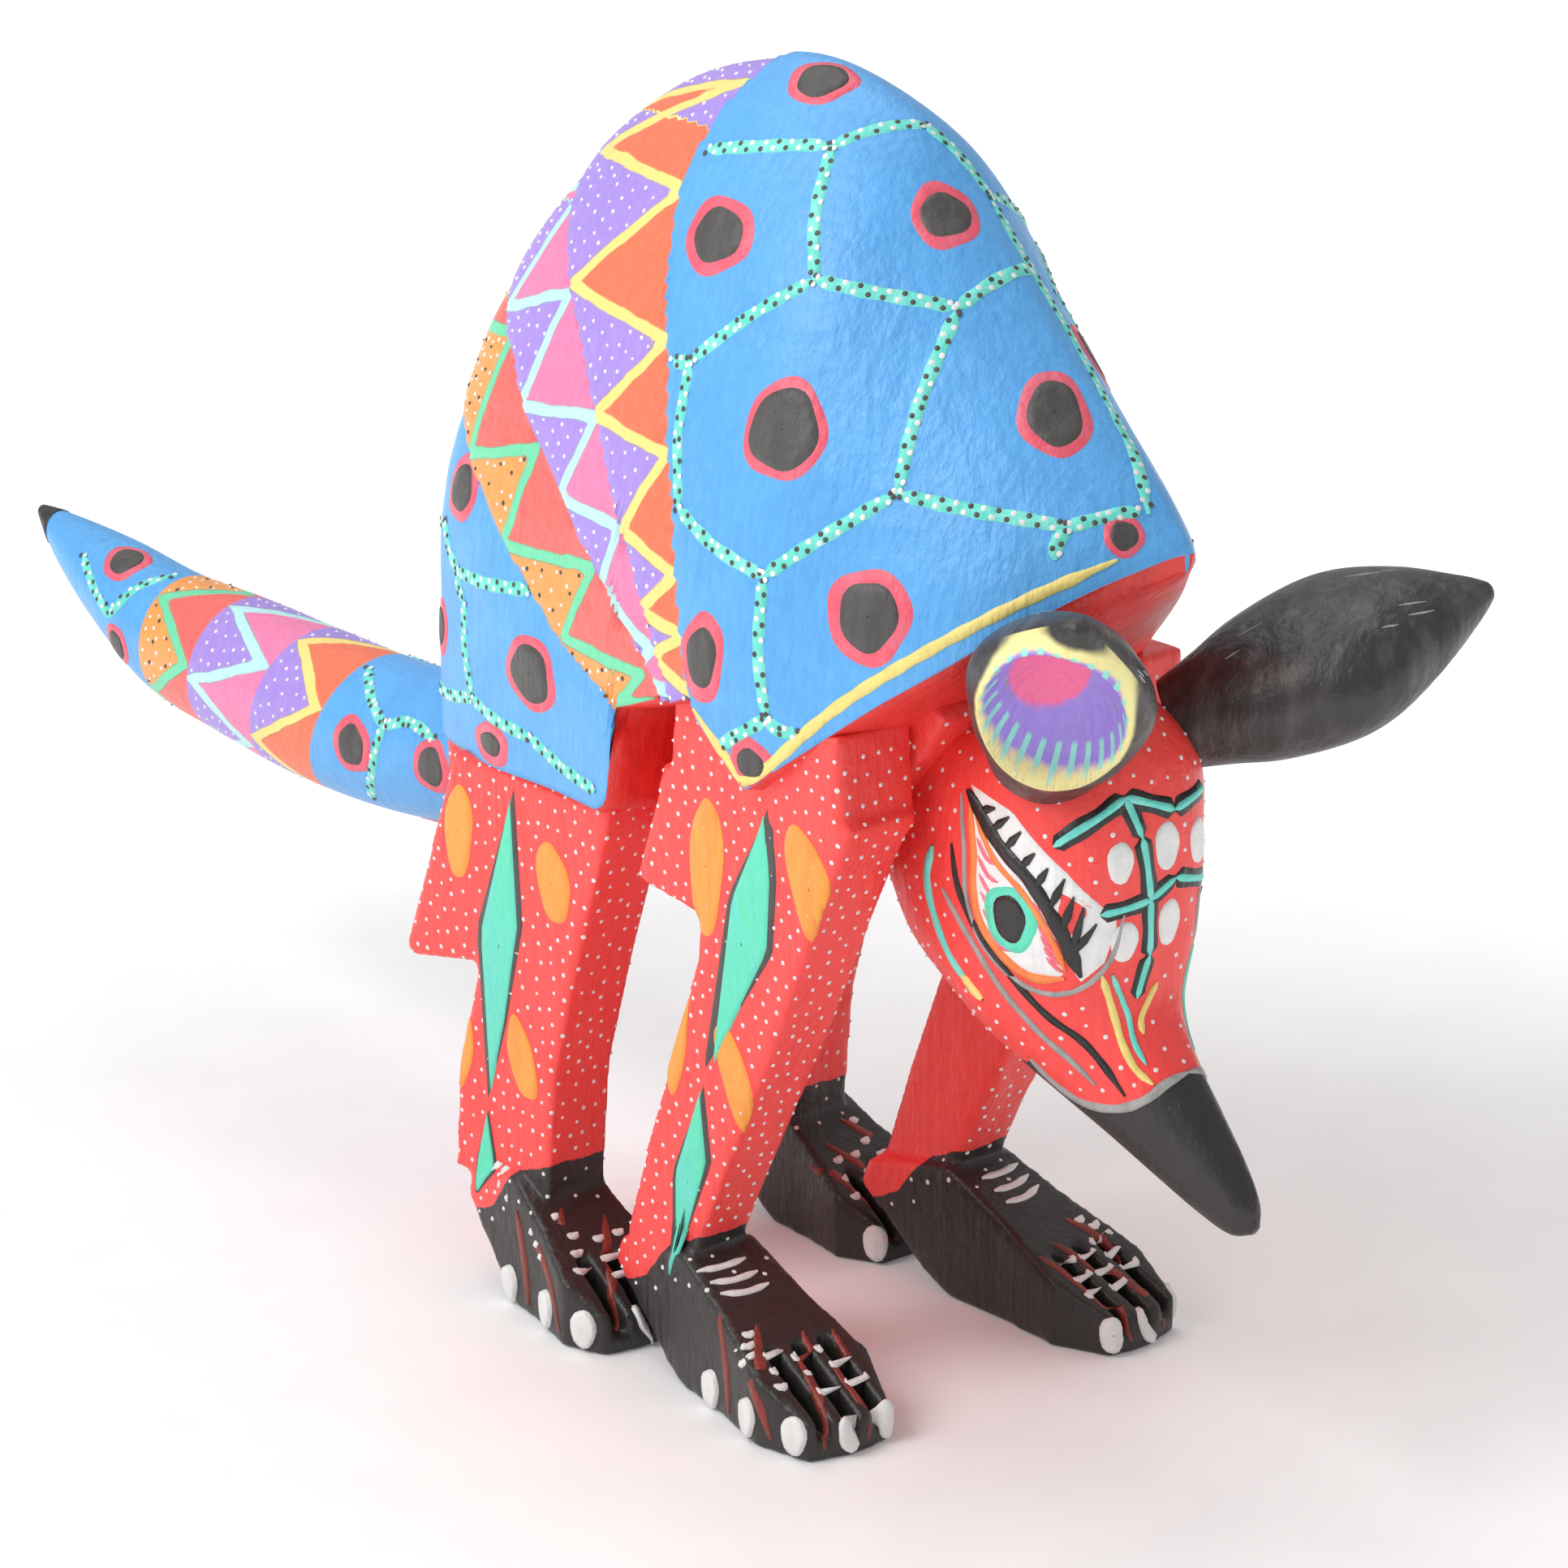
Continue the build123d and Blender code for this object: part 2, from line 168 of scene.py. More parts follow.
# ---- paint ----
def linear(red, green, blue):
    """A colour given as 0 to 255 display values, in the renderer's linear values."""
    shares = [v / 255 for v in (red, green, blue)]
    return tuple(v / 12.92 if v <= 0.04045 else ((v + 0.055) / 1.055) ** 2.4 for v in shares) + (1.0,)


BLUE = linear(92, 172, 240)
RED = linear(254, 74, 70)
DEEP_RED = linear(240, 60, 54)
ORANGE = linear(248, 118, 84)
PURPLE = linear(168, 140, 226)
PINK = linear(246, 130, 176)
RED_BAND = linear(246, 106, 100)
ORANGE_BAND = linear(250, 160, 82)
YELLOW = linear(252, 226, 132)
CYAN = linear(190, 240, 240)
GREEN = linear(112, 218, 168)
TURQUOISE = linear(104, 222, 206)
SPOT_RING = linear(238, 92, 112)
CHARCOAL = linear(72, 70, 68)
BLACK = linear(46, 43, 42)
WHITE = linear(240, 240, 238)
OVAL = linear(250, 160, 62)
DIAMOND = linear(92, 224, 184)
BRICK = linear(140, 56, 44)


class Paint:
    """A material's node tree with short ways to add to it."""

    def __init__(self, name):
        self.material = bpy.data.materials.new(name)
        self.material.use_nodes = True
        self.tree = self.material.node_tree
        self.tree.nodes.clear()
        self.place = self.add("ShaderNodeTexCoord").outputs["Object"]

    def add(self, kind, values=None, **settings):
        made = self.tree.nodes.new(kind)
        for key, value in settings.items():
            setattr(made, key, value)
        for key, value in (values or {}).items():
            if isinstance(value, bpy.types.NodeSocket):
                self.tree.links.new(value, made.inputs[key])
            else:
                made.inputs[key].default_value = value
        return made

    def number(self, name):
        return self.add("ShaderNodeAttribute", attribute_name=name).outputs["Fac"]

    def math(self, operation, a, b=0.0, clamp=False):
        return self.add("ShaderNodeMath", {0: a, 1: b}, operation=operation, use_clamp=clamp).outputs[0]

    def noise(self, scale, detail=3.0, stretch=None, roughness=0.55):
        """Noise at a scale given in features per metre, drawn out along an axis where stretch says."""
        place = self.place
        if stretch:
            place = self.add("ShaderNodeMapping", {"Vector": place, "Scale": stretch}).outputs[0]
        return self.add("ShaderNodeTexNoise", {"Vector": place, "Scale": scale, "Detail": detail,
                                               "Roughness": roughness}).outputs["Fac"]

    def step(self, value, edge, soft):
        """0 below the edge and 1 above it, with a soft border."""
        return self.add("ShaderNodeMapRange", {"Value": value, "From Min": edge - soft,
            "From Max": edge + soft},
                        interpolation_type="SMOOTHSTEP").outputs[0]

    def mix(self, share, a, b, blend="MIX"):
        made = self.add("ShaderNodeMix", data_type="RGBA", blend_type=blend)
        for socket, value in ((made.inputs[0], share), (made.inputs[6], a), (made.inputs[7], b)):
            if isinstance(value, bpy.types.NodeSocket):
                self.tree.links.new(value, socket)
            else:
                socket.default_value = value
        return made.outputs[2]

    def finish(self, colour, roughness=0.4, extra_height=None, ripple=0.8, grain=0.45, coat=0.15):
        """Satin acrylic over carved wood: uneven coverage, brush ripple, wood grain and fine dust."""
        cloud = self.noise(55, 4)
        colour = self.mix(self.math("MULTIPLY", self.step(cloud, 0.5, 0.28), 0.22), colour,
            (0.78, 0.78, 0.80, 1), "MULTIPLY")
        fine = self.noise(900, 3, (1, 1, 0.35))
        colour = self.mix(self.math("MULTIPLY", self.step(fine, 0.52, 0.2), 0.16), colour, (1.0, 1.0, 1.0, 1),
            "SOFT_LIGHT")
        ripple_height = self.math("ADD", self.noise(420, 4, (1, 1, 0.55), 0.6),
            self.math("MULTIPLY", self.noise(130, 3, (1, 0.5, 1)), 1.6))
        grain_height = self.noise(700, 3, (1, 1, 0.08), 0.5)
        height = self.math("ADD", self.math("MULTIPLY", ripple_height, ripple),
            self.math("MULTIPLY", grain_height, grain))
        if extra_height is not None:
            height = self.math("ADD", height, extra_height)
        bump = self.add("ShaderNodeBump", {"Height": height, "Strength": 0.8, "Distance": 0.0007}).outputs[0]
        rough = self.math("ADD", self.math("MULTIPLY", self.noise(180, 3), 0.22), roughness - 0.11)
        shader = self.add("ShaderNodeBsdfPrincipled", {"Base Color": colour, "Roughness": rough,
            "Normal": bump})
        shader.inputs["Specular IOR Level"].default_value = 0.42
        shader.inputs["Coat Weight"].default_value = coat
        shader.inputs["Coat Roughness"].default_value = 0.35
        out = self.add("ShaderNodeOutputMaterial")
        self.tree.links.new(shader.outputs[0], out.inputs[0])
        return self.material


def plain_paint(name, colour, second=None, streaks=(1, 1, 0.12), roughness=0.42, **finish):
    """One paint colour brushed on, with streaks of a second tone in it."""
    paint = Paint(name)
    second = second or tuple(c * 0.8 for c in colour[:3]) + (1,)
    brushed = paint.step(paint.noise(260, 3, streaks), 0.56, 0.16)
    return paint.finish(paint.mix(paint.math("MULTIPLY", brushed, 0.55), colour, second), roughness, **finish)


def band_paint(name, first_number, ground, zigzags):
    """Ground colour crossed by zigzag bands: each band has two triangle colours and a line colour."""
    paint = Paint(name)
    along = paint.number("band")
    wobble = paint.math("MULTIPLY", paint.math("SUBTRACT", paint.noise(130, 2), 0.5), 1.5)
    ground_paint = paint.mix(paint.math("MULTIPLY", paint.step(paint.noise(120, 3), 0.52, 0.2), 0.5), ground,
                             tuple(c * 0.86 for c in ground[:3]) + (1,))
    colour = ground_paint
    relief = None
    for index, (front, rear, line) in enumerate(zigzags):
        zig = paint.math("ADD", paint.number(f"zig{index + 1}"), wobble)
        pair = paint.mix(paint.step(zig, 0.0, 0.15), front, rear)
        stroke = paint.math("SUBTRACT", 1.0, paint.step(paint.math("ABSOLUTE", zig), 0.95, 0.18))
        pair = paint.mix(stroke, pair, line)
        inside = paint.step(along, first_number + index, 0.012)
        colour = paint.mix(inside, colour, pair)
        shown = paint.math("MULTIPLY", stroke, inside)
        shown = paint.math("MULTIPLY", shown, paint.math("SUBTRACT", 1.0,
            paint.step(along, first_number + index + 1, 0.012)))
        relief = shown if relief is None else paint.math("ADD", relief, shown)
    after = paint.step(along, first_number + len(zigzags), 0.012)
    colour = paint.mix(after, colour, ground_paint)
    return paint.finish(colour, extra_height=paint.math("MULTIPLY", relief, 0.5))


SHELL_PAINT = band_paint("shell paint", 1, BLUE, [(ORANGE, PURPLE, YELLOW), (PINK, PURPLE, CYAN),
                                                  (RED_BAND, ORANGE_BAND, GREEN)])


def two_paints(name, first, second):
    """A first colour that gives way to a second where the black attribute rises over zero."""
    paint = Paint(name)
    edge = paint.math("ADD", paint.number("black"), paint.math("MULTIPLY",
        paint.math("SUBTRACT", paint.noise(220, 3), 0.5), 2.0))
    brushed = paint.step(paint.noise(260, 3, (1, 1, 0.2)), 0.56, 0.2)
    ground = paint.mix(paint.math("MULTIPLY", brushed, 0.3), first, DEEP_RED)
    return paint.finish(paint.mix(paint.step(edge, 0.0, 0.12), ground, second))


HEAD_PAINT = two_paints("head paint", RED, BLACK)
LEG_PAINT = two_paints("leg paint", RED, BLACK)
RED_PAINT = plain_paint("red paint", RED, DEEP_RED)
# painted shade: a darker copy of the red paint for the shell's underside
SHADED_UNDER_PAINT = plain_paint("red paint darkened underneath", DEEP_RED, linear(200, 52, 48))
BLACK_PAINT = plain_paint("black paint", BLACK, linear(66, 60, 57), roughness=0.5)
SPOT_PAINT = plain_paint("spot paint", CHARCOAL, linear(92, 90, 88), roughness=0.5)
RING_PAINT = plain_paint("spot ring paint", SPOT_RING, linear(226, 120, 140), (1, 1, 1))
TURQUOISE_PAINT = plain_paint("turquoise paint", TURQUOISE, linear(150, 242, 232), (1, 1, 1))
YELLOW_PAINT = plain_paint("yellow paint", YELLOW, linear(214, 200, 110), (1, 1, 1))
WHITE_PAINT = plain_paint("white paint", WHITE, linear(222, 222, 220), (1, 1, 1))
OVAL_PAINT = plain_paint("orange paint", OVAL, linear(246, 138, 54), (1, 1, 0.1))
DIAMOND_PAINT = plain_paint("green paint", DIAMOND, linear(110, 214, 212), (1, 1, 0.1))


# ---- carapace ----
ARCH_SPRING = 112.0
# Nose to rump: (y, right half width, left half width, ridge height, superellipse power of the section)
SHELL_STATIONS = [
    (-134.2, 0.5, 0.5, 142.0, 1.6), (-133.6, 4.0, 2.0, 143.5, 1.6), (-130.5, 10.0, 5.5, 146.5, 1.6),
    (-126.0, 16.0, 9.0, 151.0, 1.6), (-117.0, 24.5, 16.0, 158.5, 1.6), (-104.0, 31.5, 24.0, 170.5, 1.65),
    (-90.0, 36.5, 32.0, 184.0, 1.7), (-76.0, 38.5, 37.0, 195.5, 1.72), (-54.0, 37.0, 37.0, 200.8, 1.72),
    (-30.0, 33.5, 33.5, 194.5, 1.72), (-12.0, 31.0, 31.0, 182.5, 1.75), (2.0, 26.5, 26.5, 165.0, 1.9),
    (10.0, 20.5, 20.5, 147.0, 2.0), (16.0, 13.5, 13.5, 128.0, 2.0), (19.0, 7.0, 7.0, 112.0, 2.0),
    (20.0, 0.8, 0.8, 100.0, 2.0),
]
# Height of the carapace's lower edge: (y, z)
RIM = [(-136.0, 141.5), (-134.0, 141.5), (-83.0, 102.0), (-70.0, 112.5), (-52.0, 107.0), (-49.0, 91.0),
    (-46.0, 89.5),
       (21.0, 86.0)]
SHELL_ROWS, ARCH_COLUMNS, UNDER_COLUMNS = 250, 240, 24


def shell_ring(y, right_width, left_width, ridge, power):
    rim = np.interp(y, [p[0] for p in RIM], [p[1] for p in RIM])
    spring = max(ARCH_SPRING, rim)
    ridge = max(ridge, spring + 0.5)
    turn = np.linspace(0, math.pi, 121)
    across, up = rounded_power(turn, power)
    arch = np.column_stack([np.where(across > 0, -right_width, -left_width) * across,
        spring + (ridge - spring) * up])
    outline = np.vstack([[-right_width, rim], arch, [left_width, rim]]) if spring > rim else arch
    outline = even_rows(outline, ARCH_COLUMNS + 1, 2)
    share = np.linspace(1, -1, UNDER_COLUMNS + 1)[1:-1]
    under = np.column_stack([np.where(share > 0, left_width, right_width) * share,
        rim - 2.5 * (1 - share ** 4)])
    both = np.vstack([outline, under])
    return np.column_stack([both[:, 0], np.full(len(both), y), both[:, 1]])


# Where the shell's bands meet, from the rim to the ridge: (y, z), front edge of band 1 to rear edge of band 3
BAND_EDGES = [
    [(-76.0, 100.0), (-70.8, 113.0), (-67.8, 120.0), (-62.6, 140.0), (-58.9, 148.0), (-55.9, 158.0),
     (-49.3, 171.5),
     (-45.4, 183.0), (-46.5, 193.0), (-49.5, 201.0)],
    [(-73.0, 100.0), (-63.3, 115.6), (-52.4, 132.0), (-49.0, 136.0), (-38.7, 149.0), (-31.2, 157.6),
     (-23.8, 164.5),
     (-16.0, 173.5), (-13.0, 182.0), (-8.0, 200.0)],
    [(-71.0, 100.0), (-60.5, 115.0), (-47.2, 124.8), (-32.5, 135.4), (-18.8, 145.7), (-13.2, 151.0),
     (-7.0, 154.5),
     (-1.0, 162.0), (2.0, 170.0), (8.0, 200.0)],
    [(-66.0, 100.0), (-50.5, 107.0), (-34.7, 113.7), (-21.4, 122.7), (-13.2, 129.0), (-5.8, 133.0),
     (3.0, 141.0),
     (9.0, 152.0), (14.0, 200.0)],
]
# Painted zigzag of each band, from the rim to the ridge: (y, z)
ZIGZAGS = [
    [(-71.0, 113.0), (-62.0, 117.5), (-67.0, 121.5), (-58.0, 123.5), (-64.0, 130.0), (-51.5, 134.0),
     (-58.3, 146.5),
     (-40.0, 148.5), (-53.5, 162.0), (-25.5, 164.5), (-45.5, 182.0), (-17.0, 181.5), (-46.5, 197.0),
     (-14.0, 185.0)],
    [(-70.0, 108.0), (-58.0, 114.0), (-60.5, 118.0), (-47.0, 124.3), (-50.0, 134.0), (-33.0, 134.5),
     (-39.0, 148.0),
     (-19.0, 145.0), (-24.0, 163.0), (-6.0, 157.0), (-16.0, 177.0), (1.0, 168.0)],
    [(-64.0, 104.0), (-53.0, 108.0), (-58.0, 113.5), (-37.0, 114.0), (-43.0, 126.0), (-19.0, 124.0),
     (-24.0, 140.0),
     (-5.0, 134.5), (-9.0, 154.0), (8.0, 149.0), (0.0, 166.0), (9.0, 156.0)],
]


def between_edges(y, edges):
    """How far along the bands a point is: whole numbers at the edges, 1 at the first."""
    number = 1 + (y - edges[0]) / 20
    for index in range(len(edges) - 1):
        gap = np.maximum(edges[index + 1] - edges[index], 0.5)
        number = np.where(y >= edges[index], index + 1 + np.clip((y - edges[index]) / gap, 0, 1), number)
    last = len(edges)
    return np.clip(np.where(y >= edges[-1], last + (y - edges[-1]) / 20, number), 0, last + 0.95)


BAND_STEP = 1.0  # how far a band starts below the one in front of it


def band_step(number):
    """Each band starts a little under the one before it and rises to its own rear edge."""
    share = number - np.floor(number)
    sunk = -BAND_STEP * (1 - share) ** 1.5 * smooth_step(0, 0.03,
        share) - 0.6 * (share < 0.03) * (number >= 1)
    return np.where(number >= 1, sunk, 0)


def height_over_arch(rings):
    """Height on the upright flank, carried on above it as distance over the arch."""
    arch = rings[:, :ARCH_COLUMNS + 1]
    steps = np.linalg.norm(np.diff(arch, axis=1), axis=2)
    along = np.concatenate([np.zeros((len(arch), 1)), np.cumsum(steps, axis=1)], axis=1)
    over = np.minimum(along, along[:, -1:] - along)
    over = over - np.maximum(ARCH_SPRING - arch[:, :1, 2], 0) + ARCH_SPRING
    over = np.where(arch[..., 2] < ARCH_SPRING, arch[..., 2], over)
    return np.concatenate([over, np.zeros((len(rings), rings.shape[1] - ARCH_COLUMNS - 1))], axis=1)


def zigzag_distance(y, height, zigzag):
    """Distance in front of (negative) or behind (positive) a zigzag of (y, height) corners."""
    nearest = np.full(y.shape, 99.0)
    inside = np.zeros(y.shape, bool)
    for (ya, ha), (yb, hb) in zip(zigzag, zigzag[1:]):
        share = ((y - ya) * (yb - ya) + (height - ha) * (hb - ha)) / ((yb - ya) ** 2 + (hb - ha) ** 2)
        share = np.clip(share, 0, 1)
        nearest = np.minimum(nearest, np.hypot(y - ya - share * (yb - ya), height - ha - share * (hb - ha)))
    corners = [(-300.0, zigzag[0][1])] + list(zigzag) + [(-300.0, zigzag[-1][1])]
    for (ya, ha), (yb, hb) in zip(corners, corners[1:] + corners[:1]):
        if ha != hb:
            crossing = ya + (height - ha) * (yb - ya) / (hb - ha)
            inside ^= ((height >= ha) != (height >= hb)) & (y < crossing)
    return np.where(inside, -nearest, nearest)


shell_rows = smooth_through(SHELL_STATIONS, SHELL_ROWS, 4)
shell_rings = np.array([shell_ring(*row) for row in shell_rows])
shell_columns = shell_rings.shape[1]
shell_height = height_over_arch(shell_rings)
edge_ys = [np.interp(shell_rings[..., 2], [p[1] for p in edge], [p[0] for p in edge]) for edge in BAND_EDGES]
shell_bands = between_edges(shell_rings[..., 1], edge_ys)
zig_values = []
half_arch = slice(0, ARCH_COLUMNS // 2 + 1)
for zigzag in ZIGZAGS:
    corners = []
    for y, z in zigzag:
        row = np.argmin(np.abs(shell_rings[:, 0, 1] - y))
        corners.append((y, np.interp(z, shell_rings[row, half_arch, 2], shell_height[row, half_arch])))
    zig_values.append(zigzag_distance(shell_rings[..., 1], shell_height, corners))
is_arch = np.arange(shell_columns)[None, :] <= ARCH_COLUMNS
steps = np.where(is_arch, band_step(shell_bands), 0) + carving(shell_rings, 0.22)
shell_rings = shell_rings + ring_normals(shell_rings) * (steps * smooth_step(0, 8, np.minimum(
    np.arange(SHELL_ROWS), np.arange(SHELL_ROWS)[::-1]))[:, None])[..., None]
shell_points = tube_points(shell_rings)
shell_faces = tube_faces(SHELL_ROWS, shell_columns)
carapace = make_piece("carapace", shell_points, shell_faces, "figure",
    [SHELL_PAINT, SHADED_UNDER_PAINT], ["body"])
end_caps = [0.0, 4.9]
give_numbers(carapace, "band", np.append(shell_bands.ravel(), end_caps))
for index, values in enumerate(zig_values):
    give_numbers(carapace, f"zig{index + 1}", np.append(values.ravel(), [5.0, 5.0]))
# the underside, between the rims, takes the darker red, painted shade for the side that faces the floor
side_faces = (SHELL_ROWS - 1) * shell_columns
under = [int(i % shell_columns >= ARCH_COLUMNS and i < side_faces) for i in range(len(shell_faces))]
carapace.data.polygons.foreach_set("material_index", under)


# ---- head ----
# Sweep from neck to snout tip: (top y, top z, bottom y, bottom z, half width)
HEAD_STATIONS = [
    (-98, 112, -78, 84, 14), (-105, 114, -83, 81, 16), (-118, 117, -88, 73, 17.3), (-128, 112, -97, 67, 18),
    (-132, 100, -105, 62.5, 17), (-131.5, 86, -112, 59, 14), (-130.5, 75, -118.5, 55.5, 10.6),
    (-134, 67.5, -125.5, 52, 8),
    (-141, 60, -134, 48, 6), (-147, 53.5, -142, 44.5, 4.3), (-150.5, 48.5, -147.4, 42.8, 2.8),
    (-151.5, 45, -150.5, 43.5, 0.8),
]
HEAD_ROWS, HEAD_COLUMNS = 190, 150


def head_ring(row):
    top, bottom = np.array([0, row[0], row[1]]), np.array([0, row[2], row[3]])
    angle = np.linspace(0, 2 * math.pi, HEAD_COLUMNS, endpoint=False)
    across, up = rounded_power(angle, 2.7)
    middle, half = (top + bottom) / 2, (top - bottom) / 2
    # the far cheek is carved flatter than the near one, below the brow
    share = 0.75 + 0.17 * smooth_step(100, 113, row[1])
    return middle + np.outer(up, half) + np.outer(np.where(across > 0, across * share, across),
        [row[4], 0, 0])


head_rows = smooth_through(HEAD_STATIONS, HEAD_ROWS, 4)
head_rings = np.array([head_ring(row) for row in head_rows])
head = make_piece("head_wood", tube_points(head_rings), tube_faces(HEAD_ROWS, HEAD_COLUMNS), "figure",
                  [HEAD_PAINT], ["head"])
# the snout's black ends at a line that runs under the cheeks and over the bridge
SNOUT_LINE = [(-140.0, 72.0), (-136.3, 64.5), (-134.9, 62.0), (-130.3, 59.0), (-123.9, 58.2), (-119.2, 60.0),
    (-116.6, 63.6),
              (-112.0, 62.0), (-104.0, 50.0)]
head_local = local_points(head)
snout_top = np.interp(head_local[:, 1], [p[0] for p in SNOUT_LINE], [p[1] for p in SNOUT_LINE])
give_numbers(head, "black", snout_top - head_local[:, 2])


# ---- ears ----
def ear_paint():
    """Black outside; inside the hollow a yellow rim, mint dashes, then violet with a pink blotch."""
    paint = Paint("ear paint")
    bowl = paint.math("ADD", paint.number("bowl"), paint.math("MULTIPLY",
        paint.math("SUBTRACT", paint.noise(260, 2), 0.5), 0.05))
    blotch = paint.math("ADD", paint.number("blotch"), paint.math("MULTIPLY",
        paint.math("SUBTRACT", paint.noise(200, 2), 0.5), 0.3))
    dust = paint.math("MULTIPLY", paint.step(paint.noise(240, 5, (1, 1, 0.2)), 0.57, 0.15), 0.35)
    colour = paint.mix(dust, linear(52, 49, 48), linear(120, 117, 114))
    colour = paint.mix(paint.step(bowl, 1.06, 0.03), linear(250, 238, 160), colour)
    colour = paint.mix(paint.step(bowl, 0.97, 0.02), linear(160, 136, 226), colour)
    dashes = paint.math("MULTIPLY", paint.step(paint.number("dash"), 0.35, 0.15),
        paint.step(bowl, 0.86, 0.02))
    dashes = paint.math("MULTIPLY", dashes, paint.math("SUBTRACT", 1.0, paint.step(bowl, 0.99, 0.02)))
    colour = paint.mix(dashes, colour, linear(150, 232, 214))
    pink = paint.math("MULTIPLY", paint.math("SUBTRACT", 1.0, paint.step(blotch, 1.0, 0.08)),
                      paint.math("SUBTRACT", 1.0, paint.step(bowl, 0.74, 0.04)))
    return paint.finish(paint.mix(pink, colour, linear(252, 112, 158)), grain=0.6)


EAR_PAINT = ear_paint()
EAR_ROWS, EAR_COLUMNS = 130, 140
# (distance from the seat, half width, half thickness)
EAR_STATIONS = [(0.0, 8.0, 6.5), (6.0, 9.6, 7.4), (14.0, 12.0, 8.5), (27.0, 13.5, 8.5), (38.0, 9.8, 6.6),
    (46.0, 4.6, 3.4),
                (49.4, 1.6, 1.4), (50.0, 0.4, 0.4)]
EARS = {
    "right": ((-13, -119, 110), (-0.46, -0.62, 0.635), (-0.71, -0.39, -0.58)),
    "left": ((13, -119, 110), (0.66, -0.62, 0.42), (0.71, -0.39, -0.58)),
}


def make_ear(side):
    seat, way, facing = (np.array(v, float) for v in EARS[side])
    way /= np.linalg.norm(way)
    facing -= way * facing.dot(way)
    facing /= np.linalg.norm(facing)
    across = np.cross(way, facing)
    rows = smooth_through(EAR_STATIONS, EAR_ROWS, 2)
    angle = np.linspace(0, 2 * math.pi, EAR_COLUMNS, endpoint=False)
    rings, bowl_share, blotch, dashes = [], [], [], []
    for distance, half_width, half_thick in rows:
        fuller = 1 + 0.22 * math.sin(math.pi * distance / 50) if side == "left" else 1
        half_width, half_thick = half_width * fuller, half_thick * fuller
        c, f = half_width * np.cos(angle), half_thick * np.sin(angle)
        inside = 1 - ((distance - 28) / 18.5) ** 2 - (c / 10.5) ** 2
        bowl = 7 - 10.5 * np.sqrt(np.clip(inside, 0, None))
        f = np.where((f > 0) & (inside > 0), np.minimum(f, bowl), f)
        rings.append(seat + way * (distance + 0.3) + np.outer(c, across) + np.outer(f, facing))
        bowl_share.append(np.where(np.sin(angle) > 0,
            np.sqrt(np.clip(1 - inside, 0, None)) + (0.14 if side == "left" else 0), 3.0))
        blotch.append(np.hypot((distance - 27) / 10.5, (c + 2.6) / 5.6))
        dashes.append(np.sin(26 * np.arctan2(c / 10.5, (distance - 28) / 18.5)))
    rings = np.array(rings)
    ear = make_piece(f"{side}_ear_wood", tube_points(rings), tube_faces(EAR_ROWS, EAR_COLUMNS), f"{side}_ear",
                     [EAR_PAINT], [f"{side}_ear"])
    give_numbers(ear, "bowl", np.append(np.ravel(bowl_share), [3.0, 3.0]))
    give_numbers(ear, "blotch", np.append(np.ravel(blotch), [3.0, 3.0]))
    give_numbers(ear, "dash", np.append(np.ravel(dashes), [0.0, 0.0]))
    return ear


right_ear, left_ear = make_ear("right"), make_ear("left")

# ---- tail ----
TAIL_ROWS, TAIL_COLUMNS = 190, 96
TAIL_STATIONS = [
    (18.0, 74.0, 12.0, 12.5), (46.0, 71.0, 12.0, 12.7), (70.0, 71.0, 12.0, 13.0), (92.0, 72.5, 11.5, 12.3),
    (111.0, 74.0, 10.5, 11.0), (128.0, 79.0, 8.0, 8.2), (142.0, 83.5, 4.5, 4.8), (151.0, 87.2, 1.3, 1.3),
    (152.0, 87.5, 0.4, 0.4),
]


def tail_ring(row):
    angle = np.linspace(0, 2 * math.pi, TAIL_COLUMNS, endpoint=False)
    return np.column_stack([row[2] * np.cos(angle), np.full(TAIL_COLUMNS, row[0]),
        row[1] + row[3] * np.sin(angle)])


tail_rows = smooth_through(TAIL_STATIONS, TAIL_ROWS, 2)
tail_rings = np.array([tail_ring(row) for row in tail_rows])
tail = make_piece("tail_wood", tube_points(tail_rings), tube_faces(TAIL_ROWS, TAIL_COLUMNS), "tail",
                  [SHELL_PAINT], ["tail"])
tip_rings = tail_rings[tail_rows[:, 0] > 145.5]
tip_middle = tip_rings.mean(1, keepdims=True)
tip_rings = tip_middle + (tip_rings - tip_middle) * 1.05 + np.array([0, 0.05, 0])
make_piece("tail_tip_paint", tube_points(tip_rings), tube_faces(len(tip_rings), TAIL_COLUMNS), "tail",
    [BLACK_PAINT])
tail_drop = 85 - tail_rings[..., 2]
tail_edges = [52 + 0.36 * tail_drop, 70 + 0.3 * tail_drop, 91 + 0.16 * tail_drop, 108 + 0.0 * tail_drop]
tail_bands = between_edges(tail_rings[..., 1], tail_edges)
tail_angle = np.linspace(0, 2 * math.pi, TAIL_COLUMNS, endpoint=False)[None, :]
give_numbers(tail, "band", np.append(tail_bands.ravel(), [0.0, 4.9]))
for index, (teeth, phase) in enumerate([(4, 0.25), (5, 0.0), (4, 0.1)]):
    turn = (tail_angle / (2 * math.pi) * teeth + phase) % 1
    wave = 1 - np.abs(2 * turn - 1)
    low_edge, high_edge = tail_edges[index], tail_edges[index + 1]
    line = low_edge + (high_edge - low_edge) * (0.08 + 0.84 * wave)
    slope = 0.84 * 2 * teeth * (high_edge - low_edge) / (2 * math.pi * 12)
    beyond = (tail_rings[..., 1] - line) / np.sqrt(1 + slope ** 2)
    give_numbers(tail, f"zig{index + 1}", np.append(beyond.ravel(), [5.0, 5.0]))


